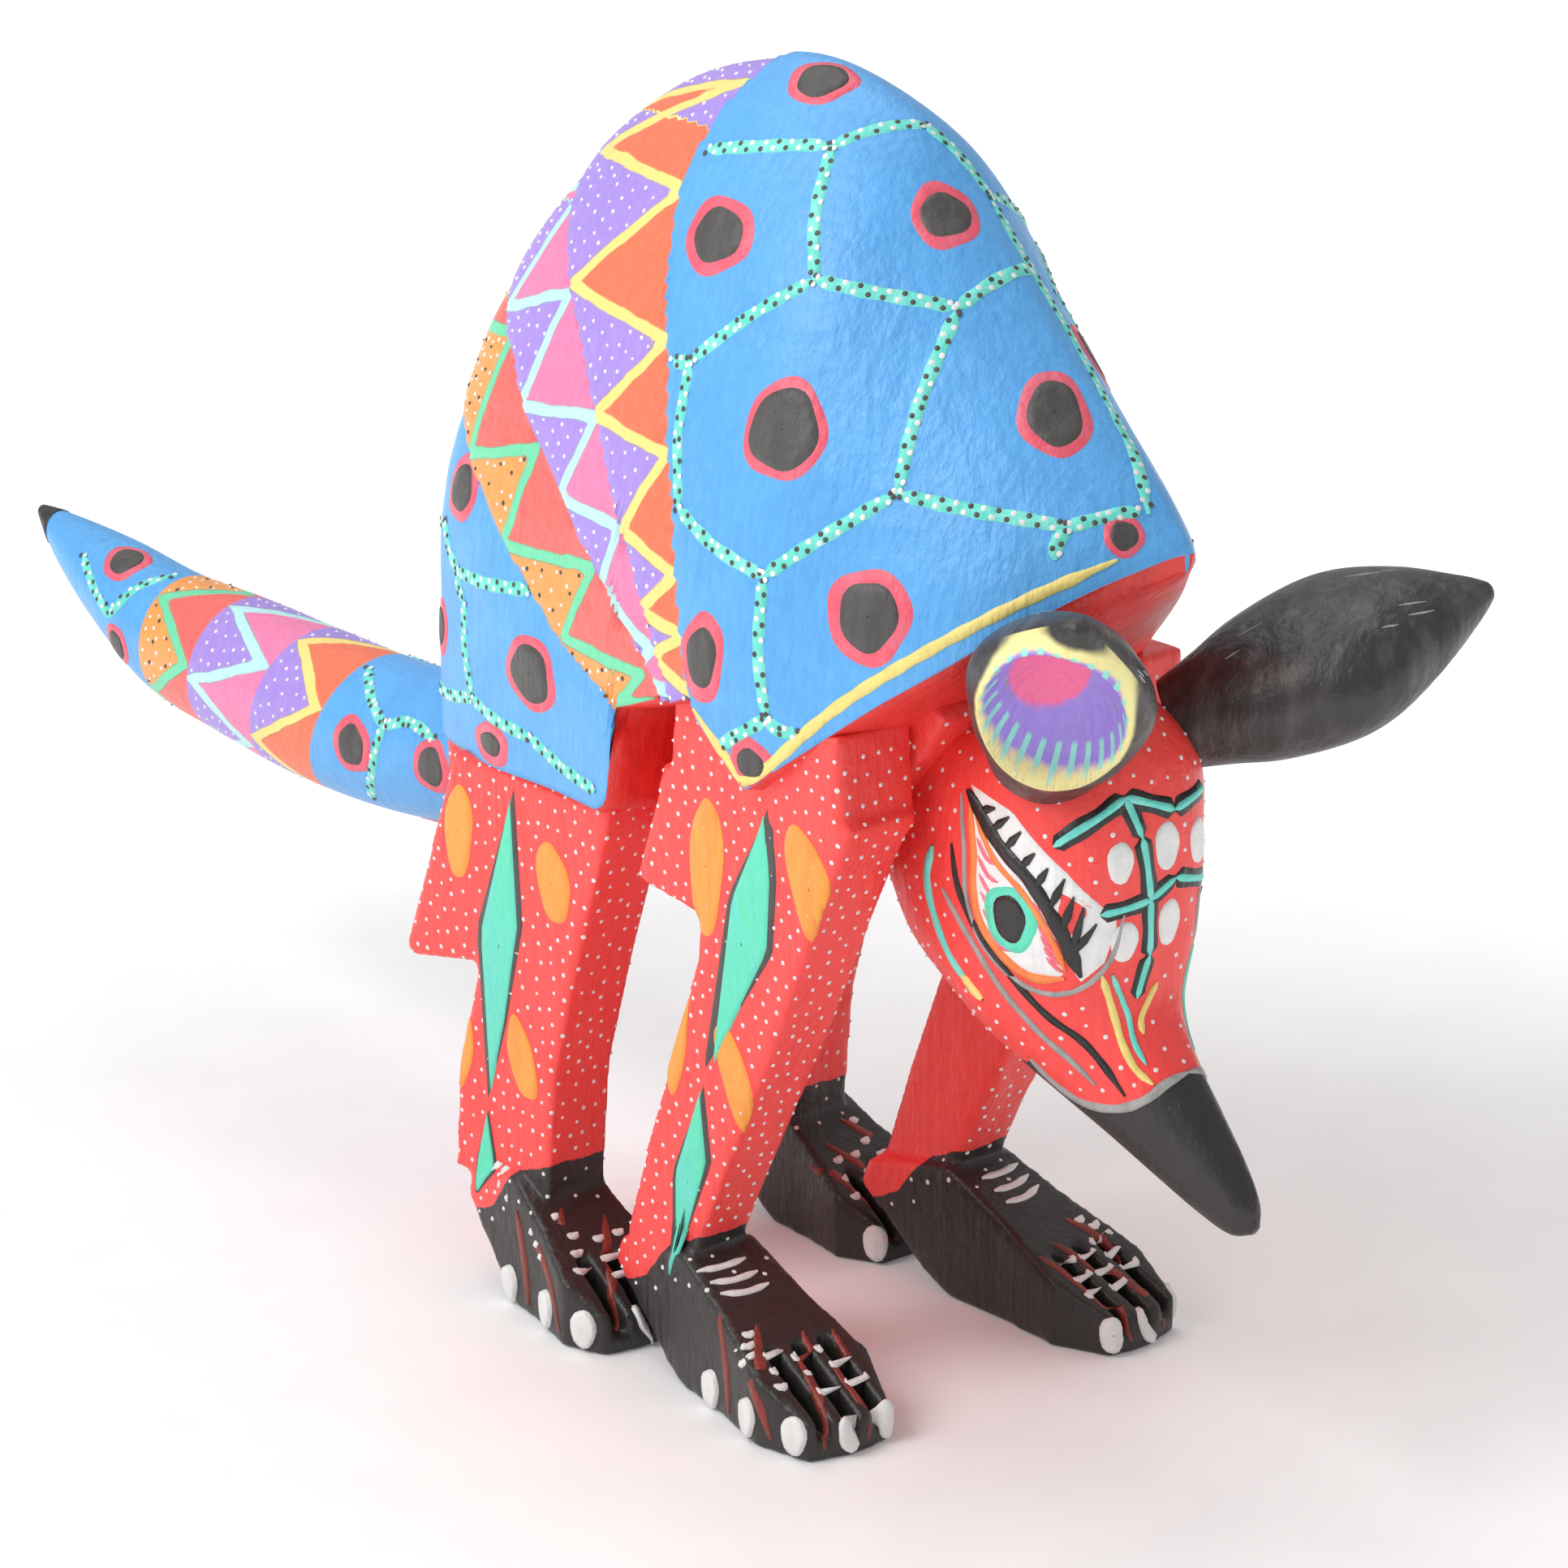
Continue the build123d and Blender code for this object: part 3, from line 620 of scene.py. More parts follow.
# ---- legs and belly, softened from their sawn shapes ----
def whittled(name, source_mesh, voxel, passes, body, materials, replaced=(), extra=None):
    """A copy of sawn blocks with every edge worn round, as one even skin."""
    rough = bpy.data.objects.new("rough", source_mesh.copy())
    if extra:
        blocks = bmesh.new()
        blocks.from_mesh(rough.data)
        corners = [blocks.verts.new(((x + MIDDLE_X) * MM, y * MM, z * MM)) for x, y, z in extra[0]]
        for face in extra[1]:
            blocks.faces.new([corners[i] for i in face])
        bmesh.ops.recalc_face_normals(blocks, faces=blocks.faces)
        blocks.to_mesh(rough.data)
        blocks.free()
    bpy.context.scene.collection.objects.link(rough)
    remesh = rough.modifiers.new("skin", "REMESH")
    remesh.mode = "VOXEL"
    remesh.voxel_size = voxel * MM
    soften = rough.modifiers.new("soften", "SMOOTH")
    soften.factor = 0.5
    soften.iterations = passes
    graph = bpy.context.evaluated_depsgraph_get()
    mesh = bpy.data.meshes.new_from_object(rough.evaluated_get(graph))
    bpy.data.objects.remove(rough)
    mesh.name = name
    mesh.materials.clear()
    for material in materials:
        mesh.materials.append(material)
    mesh.shade_smooth()
    obj = bpy.data.objects.new(name, mesh)
    bpy.context.scene.collection.objects.link(obj)
    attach(obj, body)
    if replaced:
        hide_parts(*replaced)
    return obj


def prism(outline, x_from, x_to):
    """A side outline (y, z) made solid between two distances from the middle plane."""
    count = len(outline)
    points = [(x, y, z) for x in (x_from, x_to) for y, z in outline]
    faces = [tuple(range(count)), tuple(range(2 * count - 1, count - 1, -1))]
    faces += [(i + 1 if i + 1 < count else 0, i, i + count, (i + 1) % count + count) for i in range(count)]
    return points, faces


def joined(shapes):
    points, faces = [], []
    for more_points, more_faces in shapes:
        faces += [tuple(i + len(points) for i in face) for face in more_faces]
        points += more_points
    return points, faces


SHOULDER_SIDE = [(-100.5, 97.0), (-61.5, 97.0), (-63.0, 113.0), (-99.0, 113.0)]
LEG_EXTRAS = {"front_right_leg": prism(SHOULDER_SIDE, -34.8, -20.0),
    "front_left_leg": prism(SHOULDER_SIDE, 20.0, 34.8),
              "rear_right_leg": None, "rear_left_leg": None}
# Upper edge of the black on a foot: (distance in front of the heel, height)
FOOT_LINE = [(-2.0, 12.0), (4.0, 14.5), (10.0, 22.0), (16.0, 24.5), (50.0, 30.0)]
legs = {}
for node, extra in LEG_EXTRAS.items():
    leg = whittled(f"{node}_wood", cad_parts[node].data, 0.6, 16, "figure", [LEG_PAINT],
        [node], extra)
    leg_points = local_points(leg)
    heel = leg_points[leg_points[:, 2] < 10, 1].max()
    black_top = np.interp(heel - leg_points[:, 1], [p[0] for p in FOOT_LINE], [p[1] for p in FOOT_LINE])
    give_numbers(leg, "black", black_top - leg_points[:, 2])
    legs[node] = leg

BELLY_SIDE = [(-105.0, 114.0), (-82.0, 83.3), (-76.0, 80.0), (-2.0, 80.0), (-2.0, 118.0), (-95.0, 122.0)]
HIP_SIDE = [(-14.0, 80.0), (-2.0, 62.0), (17.7, 60.0), (17.7, 96.0), (-14.0, 112.0)]
belly_points, belly_faces = joined([prism(BELLY_SIDE, -19.3, 19.3), prism(HIP_SIDE, -15.5, 15.5)])
belly_mesh = bpy.data.meshes.new("belly blocks")
belly_mesh.from_pydata([((x + MIDDLE_X) * MM, y * MM, z * MM) for x, y, z in belly_points], [], belly_faces)
belly = whittled("belly_wood", belly_mesh, 0.9, 30, "figure", [RED_PAINT])

# ---- paint laid on the wood: thin raised sheets that follow each piece's skin ----
class Skin:
    """The finished surface of a piece, to lay paint on."""

    def __init__(self, obj, body):
        self.obj, self.body = obj, body
        self.points = local_points(obj)
        self.tree = BVHTree.FromPolygons(self.points.tolist(), [tuple(p.vertices) for p in obj.data.polygons])
        flat = np.zeros(len(self.points) * 3)
        obj.data.vertices.foreach_get("normal", flat)
        self.normals = flat.reshape(-1, 3)
        self.taken = []

    def touch(self, point):
        place, normal, _, _ = self.tree.find_nearest(Vector(point))
        return np.array(place), np.array(normal)

    def free_of_paint(self, clearance):
        """True at the vertices that no sheet of paint comes near."""
        tree = KDTree(len(self.taken))
        for index, point in enumerate(self.taken):
            tree.insert(point, index)
        tree.balance()
        return np.array([tree.find(point)[2] > clearance for point in self.points.tolist()])


class Layer:
    """Sheets of one paint on one piece."""

    def __init__(self, name, skin, material, slot):
        self.name, self.skin, self.material, self.slot = name, skin, material, slot
        self.points, self.faces = [], []

    def lay(self, rows, heights, closed=False):
        """A grid of points set down on the skin, each raised by its height."""
        start, columns = len(self.points), len(rows[0])
        for row, lifts in zip(rows, heights):
            for point, lift in zip(row, lifts):
                place, normal = self.skin.touch(point)
                self.points.append(place + normal * lift)
                self.skin.taken.append(place.tolist())
        for r in range(len(rows) - 1):
            for c in range(columns if closed else columns - 1):
                d = (c + 1) % columns
                self.faces.append((start + r * columns + c, start + r * columns + d,
                                   start + (r + 1) * columns + d, start + (r + 1) * columns + c))

    def ribbon(self, path, width, lift=0.22, taper=0.12, side=1):
        """A brush stroke through the path's points; side -1 lays it on the other flank."""
        path = [(side * x, y, z) for x, y, z in path]
        length = sum(math.dist(a, b) for a, b in zip(path, path[1:]))
        count = max(5, int(length / 0.8))
        middle = smooth_through(path, count) if len(path) > 2 else np.linspace(path[0], path[1], count)
        ways = np.gradient(middle, axis=0)
        rows, heights = [], []
        for index, (point, way) in enumerate(zip(middle, ways)):
            share = index / (count - 1)
            size = width / 2 * min(1, 0.25 + min(share,
                1 - share) / taper) * (1 + 0.08 * math.sin(index * 0.9))
            place, normal = self.skin.touch(point)
            across = np.cross(normal, way)
            across /= np.linalg.norm(across) + 1e-9
            rows.append([place + across * size * k for k in (-1, -0.8, 0, 0.8, 1)])
            heights.append([-0.1, lift * 0.8, lift, lift * 0.8, -0.1])
        self.lay(rows, heights)

    def blob(self, centre, wide, tall, lift=0.22, side=1, tilt=0.0, seed=0):
        """A hand-painted oval: half width along the surface's level line, half height up it."""
        place, normal = self.skin.touch((side * centre[0], centre[1], centre[2]))
        level = np.cross((0, 0, 1), normal)
        level /= np.linalg.norm(level) + 1e-9
        up = np.cross(normal, level)
        level, up = level * math.cos(tilt) + up * math.sin(tilt), up * math.cos(tilt) - level * math.sin(tilt)
        count = max(16, int((wide + tall) * 3))
        angles = np.linspace(0, 2 * math.pi, count, endpoint=False)
        uneven = 1 + 0.04 * np.sin(3 * angles + seed) + 0.03 * np.sin(5 * angles + 2.1 * seed + 1)
        rows, heights = [], []
        for share, height in ((0.02, lift), (0.35, lift), (0.7, lift), (0.93, lift * 0.85), (1.0, -0.1)):
            rows.append([place + share * u * (level * wide * math.cos(a) + up * tall * math.sin(a))
                         for a, u in zip(angles, uneven)])
            heights.append([height] * count)
        self.lay(rows, heights, closed=True)

    def shape(self, outline, lift=0.22, side=1):
        """A patch inside a closed outline of points."""
        outline = np.array([(side * x, y, z) for x, y, z in outline])
        loop = even_rows(np.vstack([outline, outline[:1]]), max(16, 6 * len(outline)) + 1)[:-1]
        centre = loop.mean(0)
        rows = [centre + (loop - centre) * share for share in (0.02, 0.3, 0.6, 0.8, 0.95, 1.0)]
        self.lay(rows, [[height] * len(loop) for height in (lift, lift, lift, lift, lift * 0.85, -0.1)],
            closed=True)

    def dot(self, place, normal, radius, lift=0.3):
        level = np.cross(normal, (0.31, 0.42, 0.85))
        level /= np.linalg.norm(level) + 1e-9
        up = np.cross(normal, level)
        start = len(self.points)
        self.points.append(place + normal * lift)
        for k in range(7):
            turn = 2 * math.pi * k / 7
            out = level * math.cos(turn) + up * math.sin(turn)
            self.points.append(place + radius * out - normal * 0.02)
            self.faces.append((start, start + 1 + k, start + 1 + (k + 1) % 7))

    def scatter(self, wanted, gap, radius, seed):
        """Dots at some of the skin's vertices, at least a gap apart."""
        chance = random.Random(seed)
        choices = np.flatnonzero(wanted).tolist()
        chance.shuffle(choices)
        cells = {}
        for index in choices:
            x, y, z = self.skin.points[index]
            key = (int(x // gap), int(y // gap), int(z // gap))
            near = (other for i in (-1, 0, 1) for j in (-1, 0, 1) for k in (-1, 0, 1)
                    for other in cells.get((key[0] + i, key[1] + j, key[2] + k), ()))
            if all((x - p) ** 2 + (y - q) ** 2 + (z - r) ** 2 > gap * gap for p, q, r in near):
                cells.setdefault(key, []).append((x, y, z))
                self.dot(self.skin.points[index], self.skin.normals[index],
                    radius * chance.uniform(0.8, 1.15))

    def done(self):
        return make_piece(self.name, self.points, self.faces, self.skin.body, [self.material])


shell_skin = Skin(carapace, "figure")
head_skin = Skin(head, "figure")
tail_skin = Skin(tail, "tail")

# ---- shell: spots, turquoise net, rim line and dots ----
# (centre, ring half width, ring half height, black half width, black half height, on both flanks)
SPOTS = [
    ((-5.0, -62.0, 199.0), 6.0, 5.0, 4.2, 3.8, False), ((-22.1, -58.7, 177.6), 7.4, 6.2, 5.3, 4.4, True),
    ((-5.2, -89.1, 183.3), 5.3, 5.7, 4.0, 3.8, False), ((-29.9, -82.1, 154.4), 7.4, 7.7, 6.2, 6.3, True),
    ((-6.6, -113.8, 159.0), 5.6, 7.2, 4.1, 5.6, False), ((-38.1, -73.6, 120.1), 5.0, 7.0, 3.5, 4.7, True),
    ((-30.5, -101.2, 131.0), 7.2, 7.2, 5.1, 5.3, True), ((-7.5, -129.1, 144.6), 3.1, 3.3, 2.1, 2.3, False),
    ((-37.8, -84.0, 106.5), 4.2, 4.0, 2.7, 2.3, True), ((-27.5, -3.0, 129.0), 5.2, 5.6, 3.8, 3.9, True),
    ((-33.2, -27.9, 105.9), 7.4, 6.1, 5.6, 4.8, True), ((-31.7, -15.8, 91.5), 5.6, 3.5, 3.3, 1.9, True),
    ((-25.5, 3.5, 105.0), 4.6, 4.8, 3.2, 3.2, True), ((0.0, 13.0, 138.0), 5.5, 6.0, 3.8, 4.2, False),
    ((10.0, -104.0, 163.0), 5.2, 5.8, 3.8, 4.2, False), ((-12.0, 16.0, 100.0), 4.4, 5.0, 3.0, 3.4, True),
]
spot_rings = Layer("shell_spot_rings", shell_skin, RING_PAINT, "shell_paint")
spots = Layer("shell_spots", shell_skin, SPOT_PAINT, "shell_paint")
for index, (centre, ring_wide, ring_tall, wide, tall, both) in enumerate(SPOTS):
    for side in ((1, -1) if both else (1,)):
        spot_rings.blob(centre, ring_wide, ring_tall, 0.18, side, seed=index)
        spots.blob(centre, wide, tall, 0.34, side, seed=index + 0.4)

NODES = {
    "ridge": (0.1, -78.8, 193.9), "top": (-11.2, -71.3, 191.3), "high": (-21.4, -79.3, 174.5),
    "brow": (-10.2, -97.3, 171.9),
    "back": (-29.2, -60.6, 160.3), "cheek": (-24.8, -100.7, 147.9), "side": (-35.3, -83.8, 134.0),
    "nose": (-12.9, -123.2, 145.6),
    "edge": (-34.8, -64.5, 139.9), "low": (-37.2, -86.9, 113.8), "band top": (-15.5, -49.0, 187.6),
    "far": (4.8, -87.7, 184.5),
    "band mid": (-28.9, -57.0, 160.1), "rim rear": (-38.5, -77.6, 107.5), "rim front": (-35.8, -92.4, 112.4),
    "tip": (-3.9, -128.6, 147.4), "nose rim": (-15.6, -123.7, 141.4), "far brow": (3.9, -97.3, 175.6),
    "centre": (0.0, -108.0, 164.0),
    "rump 1": (-28.8, -4.3, 116.1), "rump 2": (-32.8, -26.6, 118.6), "rump 3": (-30.3, -9.2, 97.0),
    "rump 4": (-36.0, -46.6, 92.4),
    "rump 5": (-29.8, -7.3, 112.2), "rump 6": (-26.0, 2.5, 122.0), "rump 7": (-24.0, 6.0, 94.0),
    "rump 8": (-33.5, -27.0, 95.5),
    "rump 9": (-14.0, 14.5, 118.0), "rump 10": (0.0, 19.0, 112.0), "rump 11": (-18.0, 13.0, 92.0),
    "rump 12": (0.0, 12.5, 146.0),
}
EDGES = [
    ("band top", "top"), ("top", "ridge"), ("top", "high"), ("high", "brow"), ("high", "back"),
    ("back", "band mid"),
    ("back", "edge"), ("edge", "side"), ("side", "cheek"), ("cheek", "brow"), ("cheek", "nose"),
    ("nose", "tip"),
    ("nose", "nose rim"), ("side", "low"), ("low", "rim rear"), ("low", "rim front"), ("brow", "far brow"),
    ("ridge", "far"),
    ("rump 6", "rump 1"), ("rump 1", "rump 2"), ("rump 1", "rump 5"), ("rump 5", "rump 3"),
    ("rump 3", "rump 7"),
    ("rump 3", "rump 8"), ("rump 8", "rump 4"), ("rump 6", "rump 9"), ("rump 9", "rump 10"),
    ("rump 7", "rump 11"),
    ("rump 9", "rump 11"), ("rump 9", "rump 12"),
]
NET_WIDTH, NET_DOT_GAP, NET_DOT_RADIUS = 2.3, 2.2, 0.46
net = Layer("shell_net", shell_skin, TURQUOISE_PAINT, "shell_paint")
net_black = Layer("shell_net_black_dots", shell_skin, SPOT_PAINT, "shell_paint")
net_white = Layer("shell_net_white_dots", shell_skin, WHITE_PAINT, "shell_paint")


def dotted_line(path, line_layer, black_layer, white_layer, width=NET_WIDTH, side=1):
    """A turquoise stroke with two staggered rows of dots, black and white by turns."""
    line_layer.ribbon(path, width, 0.2, side=side)
    ends = [np.array((side * x, y, z)) for x, y, z in path]
    skin = line_layer.skin
    along = 0.0
    for start, end in zip(ends, ends[1:]):
        length = np.linalg.norm(end - start)
        way = (end - start) / length
        while along < length:
            for row in (-1, 1):
                place, normal = skin.touch(start + way * (along + 0.4 * row))
                across = np.cross(normal, way)
                spot, turned = skin.touch(place + across * width * 0.23 * row)
                is_black = (int(round(along / NET_DOT_GAP)) + (row > 0)) % 2 == 0
                (black_layer if is_black else white_layer).dot(spot + turned * 0.2, turned, NET_DOT_RADIUS,
                    0.2)
            along += NET_DOT_GAP
        along = 0.9


for start, end in EDGES:
    a, b = np.array(NODES[start]), np.array(NODES[end])
    for side in (1, -1) if max(a[0], b[0]) < -5 or start.startswith("rump") else (1,):
        bend = (a + b) / 2 + np.array([0, 0.9, -0.6])
        dotted_line([tuple(a), tuple(bend), tuple(b)], net, net_black, net_white, side=side)
dotted_line([NODES["far"], (5.0, -97.0, 178.0), (4.5, -108.0, 166.0), (1.5, -120.0, 156.0),
    (-3.0, -129.5, 147.0)],
            net, net_black, net_white)
dotted_line([NODES["far"], (16.0, -84.0, 180.0), (22.0, -76.0, 174.0), (25.0, -62.0, 168.0)], net, net_black,
    net_white)

rim_line = Layer("shell_rim_line", shell_skin, YELLOW_PAINT, "shell_paint")
for side, widths in ((1, (10.0, 23.0, 33.5, 38.0)), (-1, (5.5, 15.0, 27.0, 35.0))):
    rim_line.ribbon([(-widths[0], -130.5, 142.0), (-widths[1], -118.0, 133.0), (-widths[2], -100.0, 119.0),
                     (-widths[3], -84.0, 104.0), (-38.5, -79.0, 106.5), (-38.3, -72.0, 112.0)], 1.9, 0.25,
                     side=side)
for layer in (spot_rings, spots, net, net_black, net_white, rim_line):
    layer.done()

flat_bands = np.append(shell_bands.ravel(), [0.0, 4.9])
flat_zigs = [np.append(values.ravel(), [5.0, 5.0]) for values in zig_values]
on_arch = np.append(np.broadcast_to(is_arch, shell_bands.shape).ravel(), [False, False])
free = shell_skin.free_of_paint(1.0)


def in_triangles(bands, zigs, number, behind):
    """Vertices inside one band's triangles, clear of its lines and edges."""
    zig = zigs[number - 1]
    clear = (bands > number + 0.06) & (bands < number + 0.94)
    return clear & ((zig > 1.5) if behind else (zig < -1.5))


TRIANGLE_DOT_GAP, TRIANGLE_DOT_RADIUS = 2.15, 0.36


def triangle_dots(prefix, skin, bands, zigs, allowed):
    white = Layer(f"{prefix}_white_dots", skin, WHITE_PAINT, "shell_paint")
    for number in (1, 2, 3):
        white.scatter(allowed & in_triangles(bands, zigs, number, True), TRIANGLE_DOT_GAP,
            TRIANGLE_DOT_RADIUS, number)
    white.done()
    dark = Layer(f"{prefix}_dark_dots", skin, SPOT_PAINT, "shell_paint")
    dark.scatter(allowed & in_triangles(bands, zigs, 3, True), 3.4, 0.42, 8)
    dark.done()


triangle_dots("shell", shell_skin, flat_bands, flat_zigs, on_arch & free)

# ---- tail: spots, line and dots ----
tail_spot_rings = Layer("tail_spot_rings", tail_skin, RING_PAINT, "shell_paint")
tail_spots = Layer("tail_spots", tail_skin, SPOT_PAINT, "shell_paint")
for index, (centre, wide) in enumerate([((-4.0, 121.0, 86.5), 3.6), ((-10.0, 116.0, 72.5), 3.0),
    ((-12.0, 46.3, 71.9), 3.9),
                                        ((-12.0, 25.0, 73.4), 3.7), ((11.0, 38.0, 72.0), 4.0),
                                        ((0.0, 36.0, 60.0), 3.8),
                                        ((8.0, 120.0, 78.0), 3.4), ((2.0, 30.0, 86.0), 3.8)]):
    tail_spot_rings.blob(centre, wide * 1.35, wide * 1.35, 0.18, seed=index)
    tail_spots.blob(centre, wide * 0.9, wide * 0.95, 0.34, seed=index + 0.4)
tail_net = Layer("tail_net", tail_skin, TURQUOISE_PAINT, "shell_paint")
tail_net_black = Layer("tail_net_black_dots", tail_skin, SPOT_PAINT, "shell_paint")
tail_net_white = Layer("tail_net_white_dots", tail_skin, WHITE_PAINT, "shell_paint")
for path in ([(-4.5, 51.0, 82.6), (-9.5, 44.0, 79.5), (-10.8, 38.7, 77.2), (-10.2, 32.9, 78.8),
    (-11.1, 24.7, 77.9)],
             [(-10.8, 38.7, 77.2), (-11.8, 41.0, 69.0), (-8.8, 45.0, 62.5)],
             [(-5.6, 131.0, 84.6), (-8.6, 123.1, 79.8), (-9.4, 118.0, 78.0), (-6.0, 113.0, 84.0),
              (-1.0, 109.6, 84.9)],
             [(4.5, 51.0, 82.6), (9.5, 44.0, 79.0), (11.5, 30.0, 76.0)],
             [(9.5, 44.0, 79.0), (11.0, 46.0, 66.0)],
             [(6.0, 128.0, 84.0), (8.5, 116.0, 80.0), (10.0, 111.0, 74.0)]):
    dotted_line(path, tail_net, tail_net_black, tail_net_white, width=2.1)
for layer in (tail_spot_rings, tail_spots, tail_net, tail_net_black, tail_net_white):
    layer.done()
tail_zigs = []
for index in (1, 2, 3):
    read = np.zeros(len(tail_skin.points), np.float32)
    tail.data.attributes[f"zig{index}"].data.foreach_get("value", read)
    tail_zigs.append(read)
triangle_dots("tail", tail_skin, np.append(tail_bands.ravel(), [0.0, 4.9]), tail_zigs,
    tail_skin.free_of_paint(0.8))

# ---- legs: green diamonds, orange ovals, white dots, black feet with nails ----
GROOVE_PAINT = plain_paint("toe groove paint", BRICK, linear(96, 38, 32))
GREY_PAINT = plain_paint("grey paint", linear(168, 166, 164), linear(120, 118, 116), (1, 1, 0.3))
# Outlines on the outer face as (y, z), and ovals as (y, z, half width, half height, tilt)
LEG_PAINTING = {
    "front": {
        "diamonds": [[(-84.5, 99.5), (-74.3, 83.1), (-66.8, 52.0), (-76.0, 65.0), (-84.0, 76.0),
         (-85.5, 89.0)],
                     [(-67.0, 50.5), (-58.8, 34.0), (-57.8, 15.5), (-62.5, 26.0), (-68.2, 38.0)]],
        "ovals": [(-69.4, 86.0, 3.8, 11.5, 0.1), (-92.6, 88.5, 4.6, 10.0, -0.3),
         (-59.3, 57.0, 2.9, 10.5, 0.1),
                  (-74.4, 53.0, 3.2, 10.0, -0.35)],
    },
    "rear": {
        "diamonds": [[(-21.0, 86.0), (-10.6, 60.0), (-12.5, 31.0), (-17.5, 45.0), (-22.4, 63.5)],
                     [(-12.6, 30.0), (-9.4, 21.0), (-9.5, 14.5), (-14.8, 20.0)]],
        "ovals": [(-6.8, 75.0, 3.5, 8.0, 0.1), (-30.0, 72.4, 4.0, 6.6, -0.2), (-5.6, 38.5, 3.0, 6.6, 0.1),
         (-21.3, 41.0, 3.2, 7.0, -0.3)],
    },
}
# The rear feet take the front foot's painting, moved in by this much and back to their own toes
REAR_TOES_IN, FRONT_TOE_Y = 3.0, -99.5
LEG_DOT_GAP, LEG_DOT_RADIUS = 2.25, 0.38
# Right front foot: toe grooves and nails
GROOVES = [[(-36.0, -74.0, 16.5), (-38.0, -76.0, 9.0), (-37.4, -77.5, 1.6)],
    [(-32.0, -78.5, 15.0), (-37.5, -85.5, 9.5), (-39.6, -89.8, 2.0)],
           [(-26.0, -82.4, 14.0), (-32.0, -92.0, 10.0), (-35.0, -97.4, 2.0)],
           [(-21.5, -84.0, 13.5), (-25.5, -93.0, 10.5), (-27.4, -98.6, 2.0)]]
NAILS = [(-37.0, -71.5, 3.4), (-39.6, -84.0, 4.0), (-38.0, -94.0, 4.0), (-31.0, -98.4, 4.0),
    (-23.6, -98.6, 4.0)]
for end, painting in LEG_PAINTING.items():
    for side_name, side in (("right", 1), ("left", -1)):
        leg = legs[f"{end}_{side_name}_leg"]
        skin = Skin(leg, "figure")
        low = skin.points[skin.points[:, 2] < 12]
        front_tip = low[:, 1].min()
        move = np.array([REAR_TOES_IN, front_tip - FRONT_TOE_Y, 0.0] if end == "rear" else [0.0, 0.0, 0.0])
        parts = {}
        for kind, material in (("outlines", SPOT_PAINT), ("diamonds", DIAMOND_PAINT), ("ovals", OVAL_PAINT),
            ("dots", WHITE_PAINT),
                               ("grooves", GROOVE_PAINT), ("nails", WHITE_PAINT), ("strokes", WHITE_PAINT)):
            slot = "black_paint" if kind in ("grooves", "nails", "strokes") else "red_paint"
            parts[kind] = Layer(f"{end}_{side_name}_leg_{kind}", skin, material, slot)
        outer = 34.5 if end == "front" else 31.8
        for outline in painting["diamonds"]:
            edge = np.array([(-outer, y, z) for y, z in outline])
            parts["outlines"].shape(edge, 0.18, side)
            parts["diamonds"].shape(edge.mean(0) + (edge - edge.mean(0)) * (0.8, 0.8, 0.93), 0.32, side)
        for y, z, wide, tall, tilt in painting["ovals"]:
            parts["ovals"].blob((-outer, y, z), wide, tall, 0.22, side, tilt=-side * tilt, seed=y)
        for groove in GROOVES:
            parts["grooves"].ribbon([tuple(np.array(p) + move) for p in groove], 2.0, 0.18, 0.3, side)
        for nail in NAILS:
            parts["nails"].blob(tuple(np.array(nail) + move), 2.3, 3.2, 0.8, side)
        for nail in NAILS[1:]:
            root = np.array([-28.5, -74.0, 20.0])
            toe = np.array(nail) + np.array([0, 0, 5.0])
            for share, gap in ((0.52, 0.6), (0.66, 0.75), (0.8, 0.9)):
                middle = root + (toe - root) * share + move
                parts["strokes"].ribbon([tuple(middle + (-1.6 * gap, 0.9 * gap, 0)),
                    tuple(middle + (0, -0.6, 0.6)),
                                         tuple(middle + (1.6 * gap, 0.4 * gap, 0))], 1.3, 0.3, 0.3, side)
        for reach in (0.0, 2.6, 5.0):
            parts["strokes"].ribbon([tuple(np.array(p) + move) for p in ((-33.0, -66.0 - reach,
                19.5 - reach * 0.4),
                                    (-29.0, -67.5 - reach, 21.0 - reach * 0.7),
                                    (-24.5, -67.5 - reach, 21.0 - reach * 0.7))],
                                    1.3, 0.3, 0.3, side)
        x, y, z = skin.points.T
        leg_top = 100 if end == "front" else 86
        black = np.zeros(len(skin.points), np.float32)
        leg.data.attributes["black"].data.foreach_get("value", black)
        seen_faces = (skin.normals[:, 0] * -side > 0.7) | (skin.normals[:, 1] < -0.7)
        dotted = (black < -1.5) & (z < leg_top + 10) & seen_faces
        parts["dots"].scatter(dotted & skin.free_of_paint(0.9), LEG_DOT_GAP, LEG_DOT_RADIUS, 20)
        in_black = (black > 0.5) & (black < 7) & (z > 12) & skin.free_of_paint(0.8)
        parts["dots"].scatter(in_black, 3.6, 0.4, 21)
        for layer in parts.values():
            layer.done()

# ---- face ----
PUPIL_PAINT = plain_paint("pupil paint", linear(28, 27, 27), linear(60, 58, 58), roughness=0.35)
PINK_PAINT = plain_paint("pink paint", linear(246, 110, 130), linear(250, 160, 170), (1, 1, 1))
EYE_LINE_PAINT = plain_paint("orange line paint", linear(250, 128, 66), linear(252, 164, 84), (1, 1, 1))
RIGHT_EYE = [(-17.0, -108.5, 102.0), (-17.9, -110.1, 95.2), (-18.0, -110.3, 89.7), (-17.9, -111.8, 85.0),
    (-17.3, -115.7, 80.9),
             (-15.6, -120.4, 78.6), (-13.4, -125.0, 79.2), (-15.2, -124.8, 86.0), (-16.9, -121.2, 92.3),
             (-17.6, -115.2, 97.0)]
eye_white = Layer("eye_whites", head_skin, WHITE_PAINT, "red_paint")
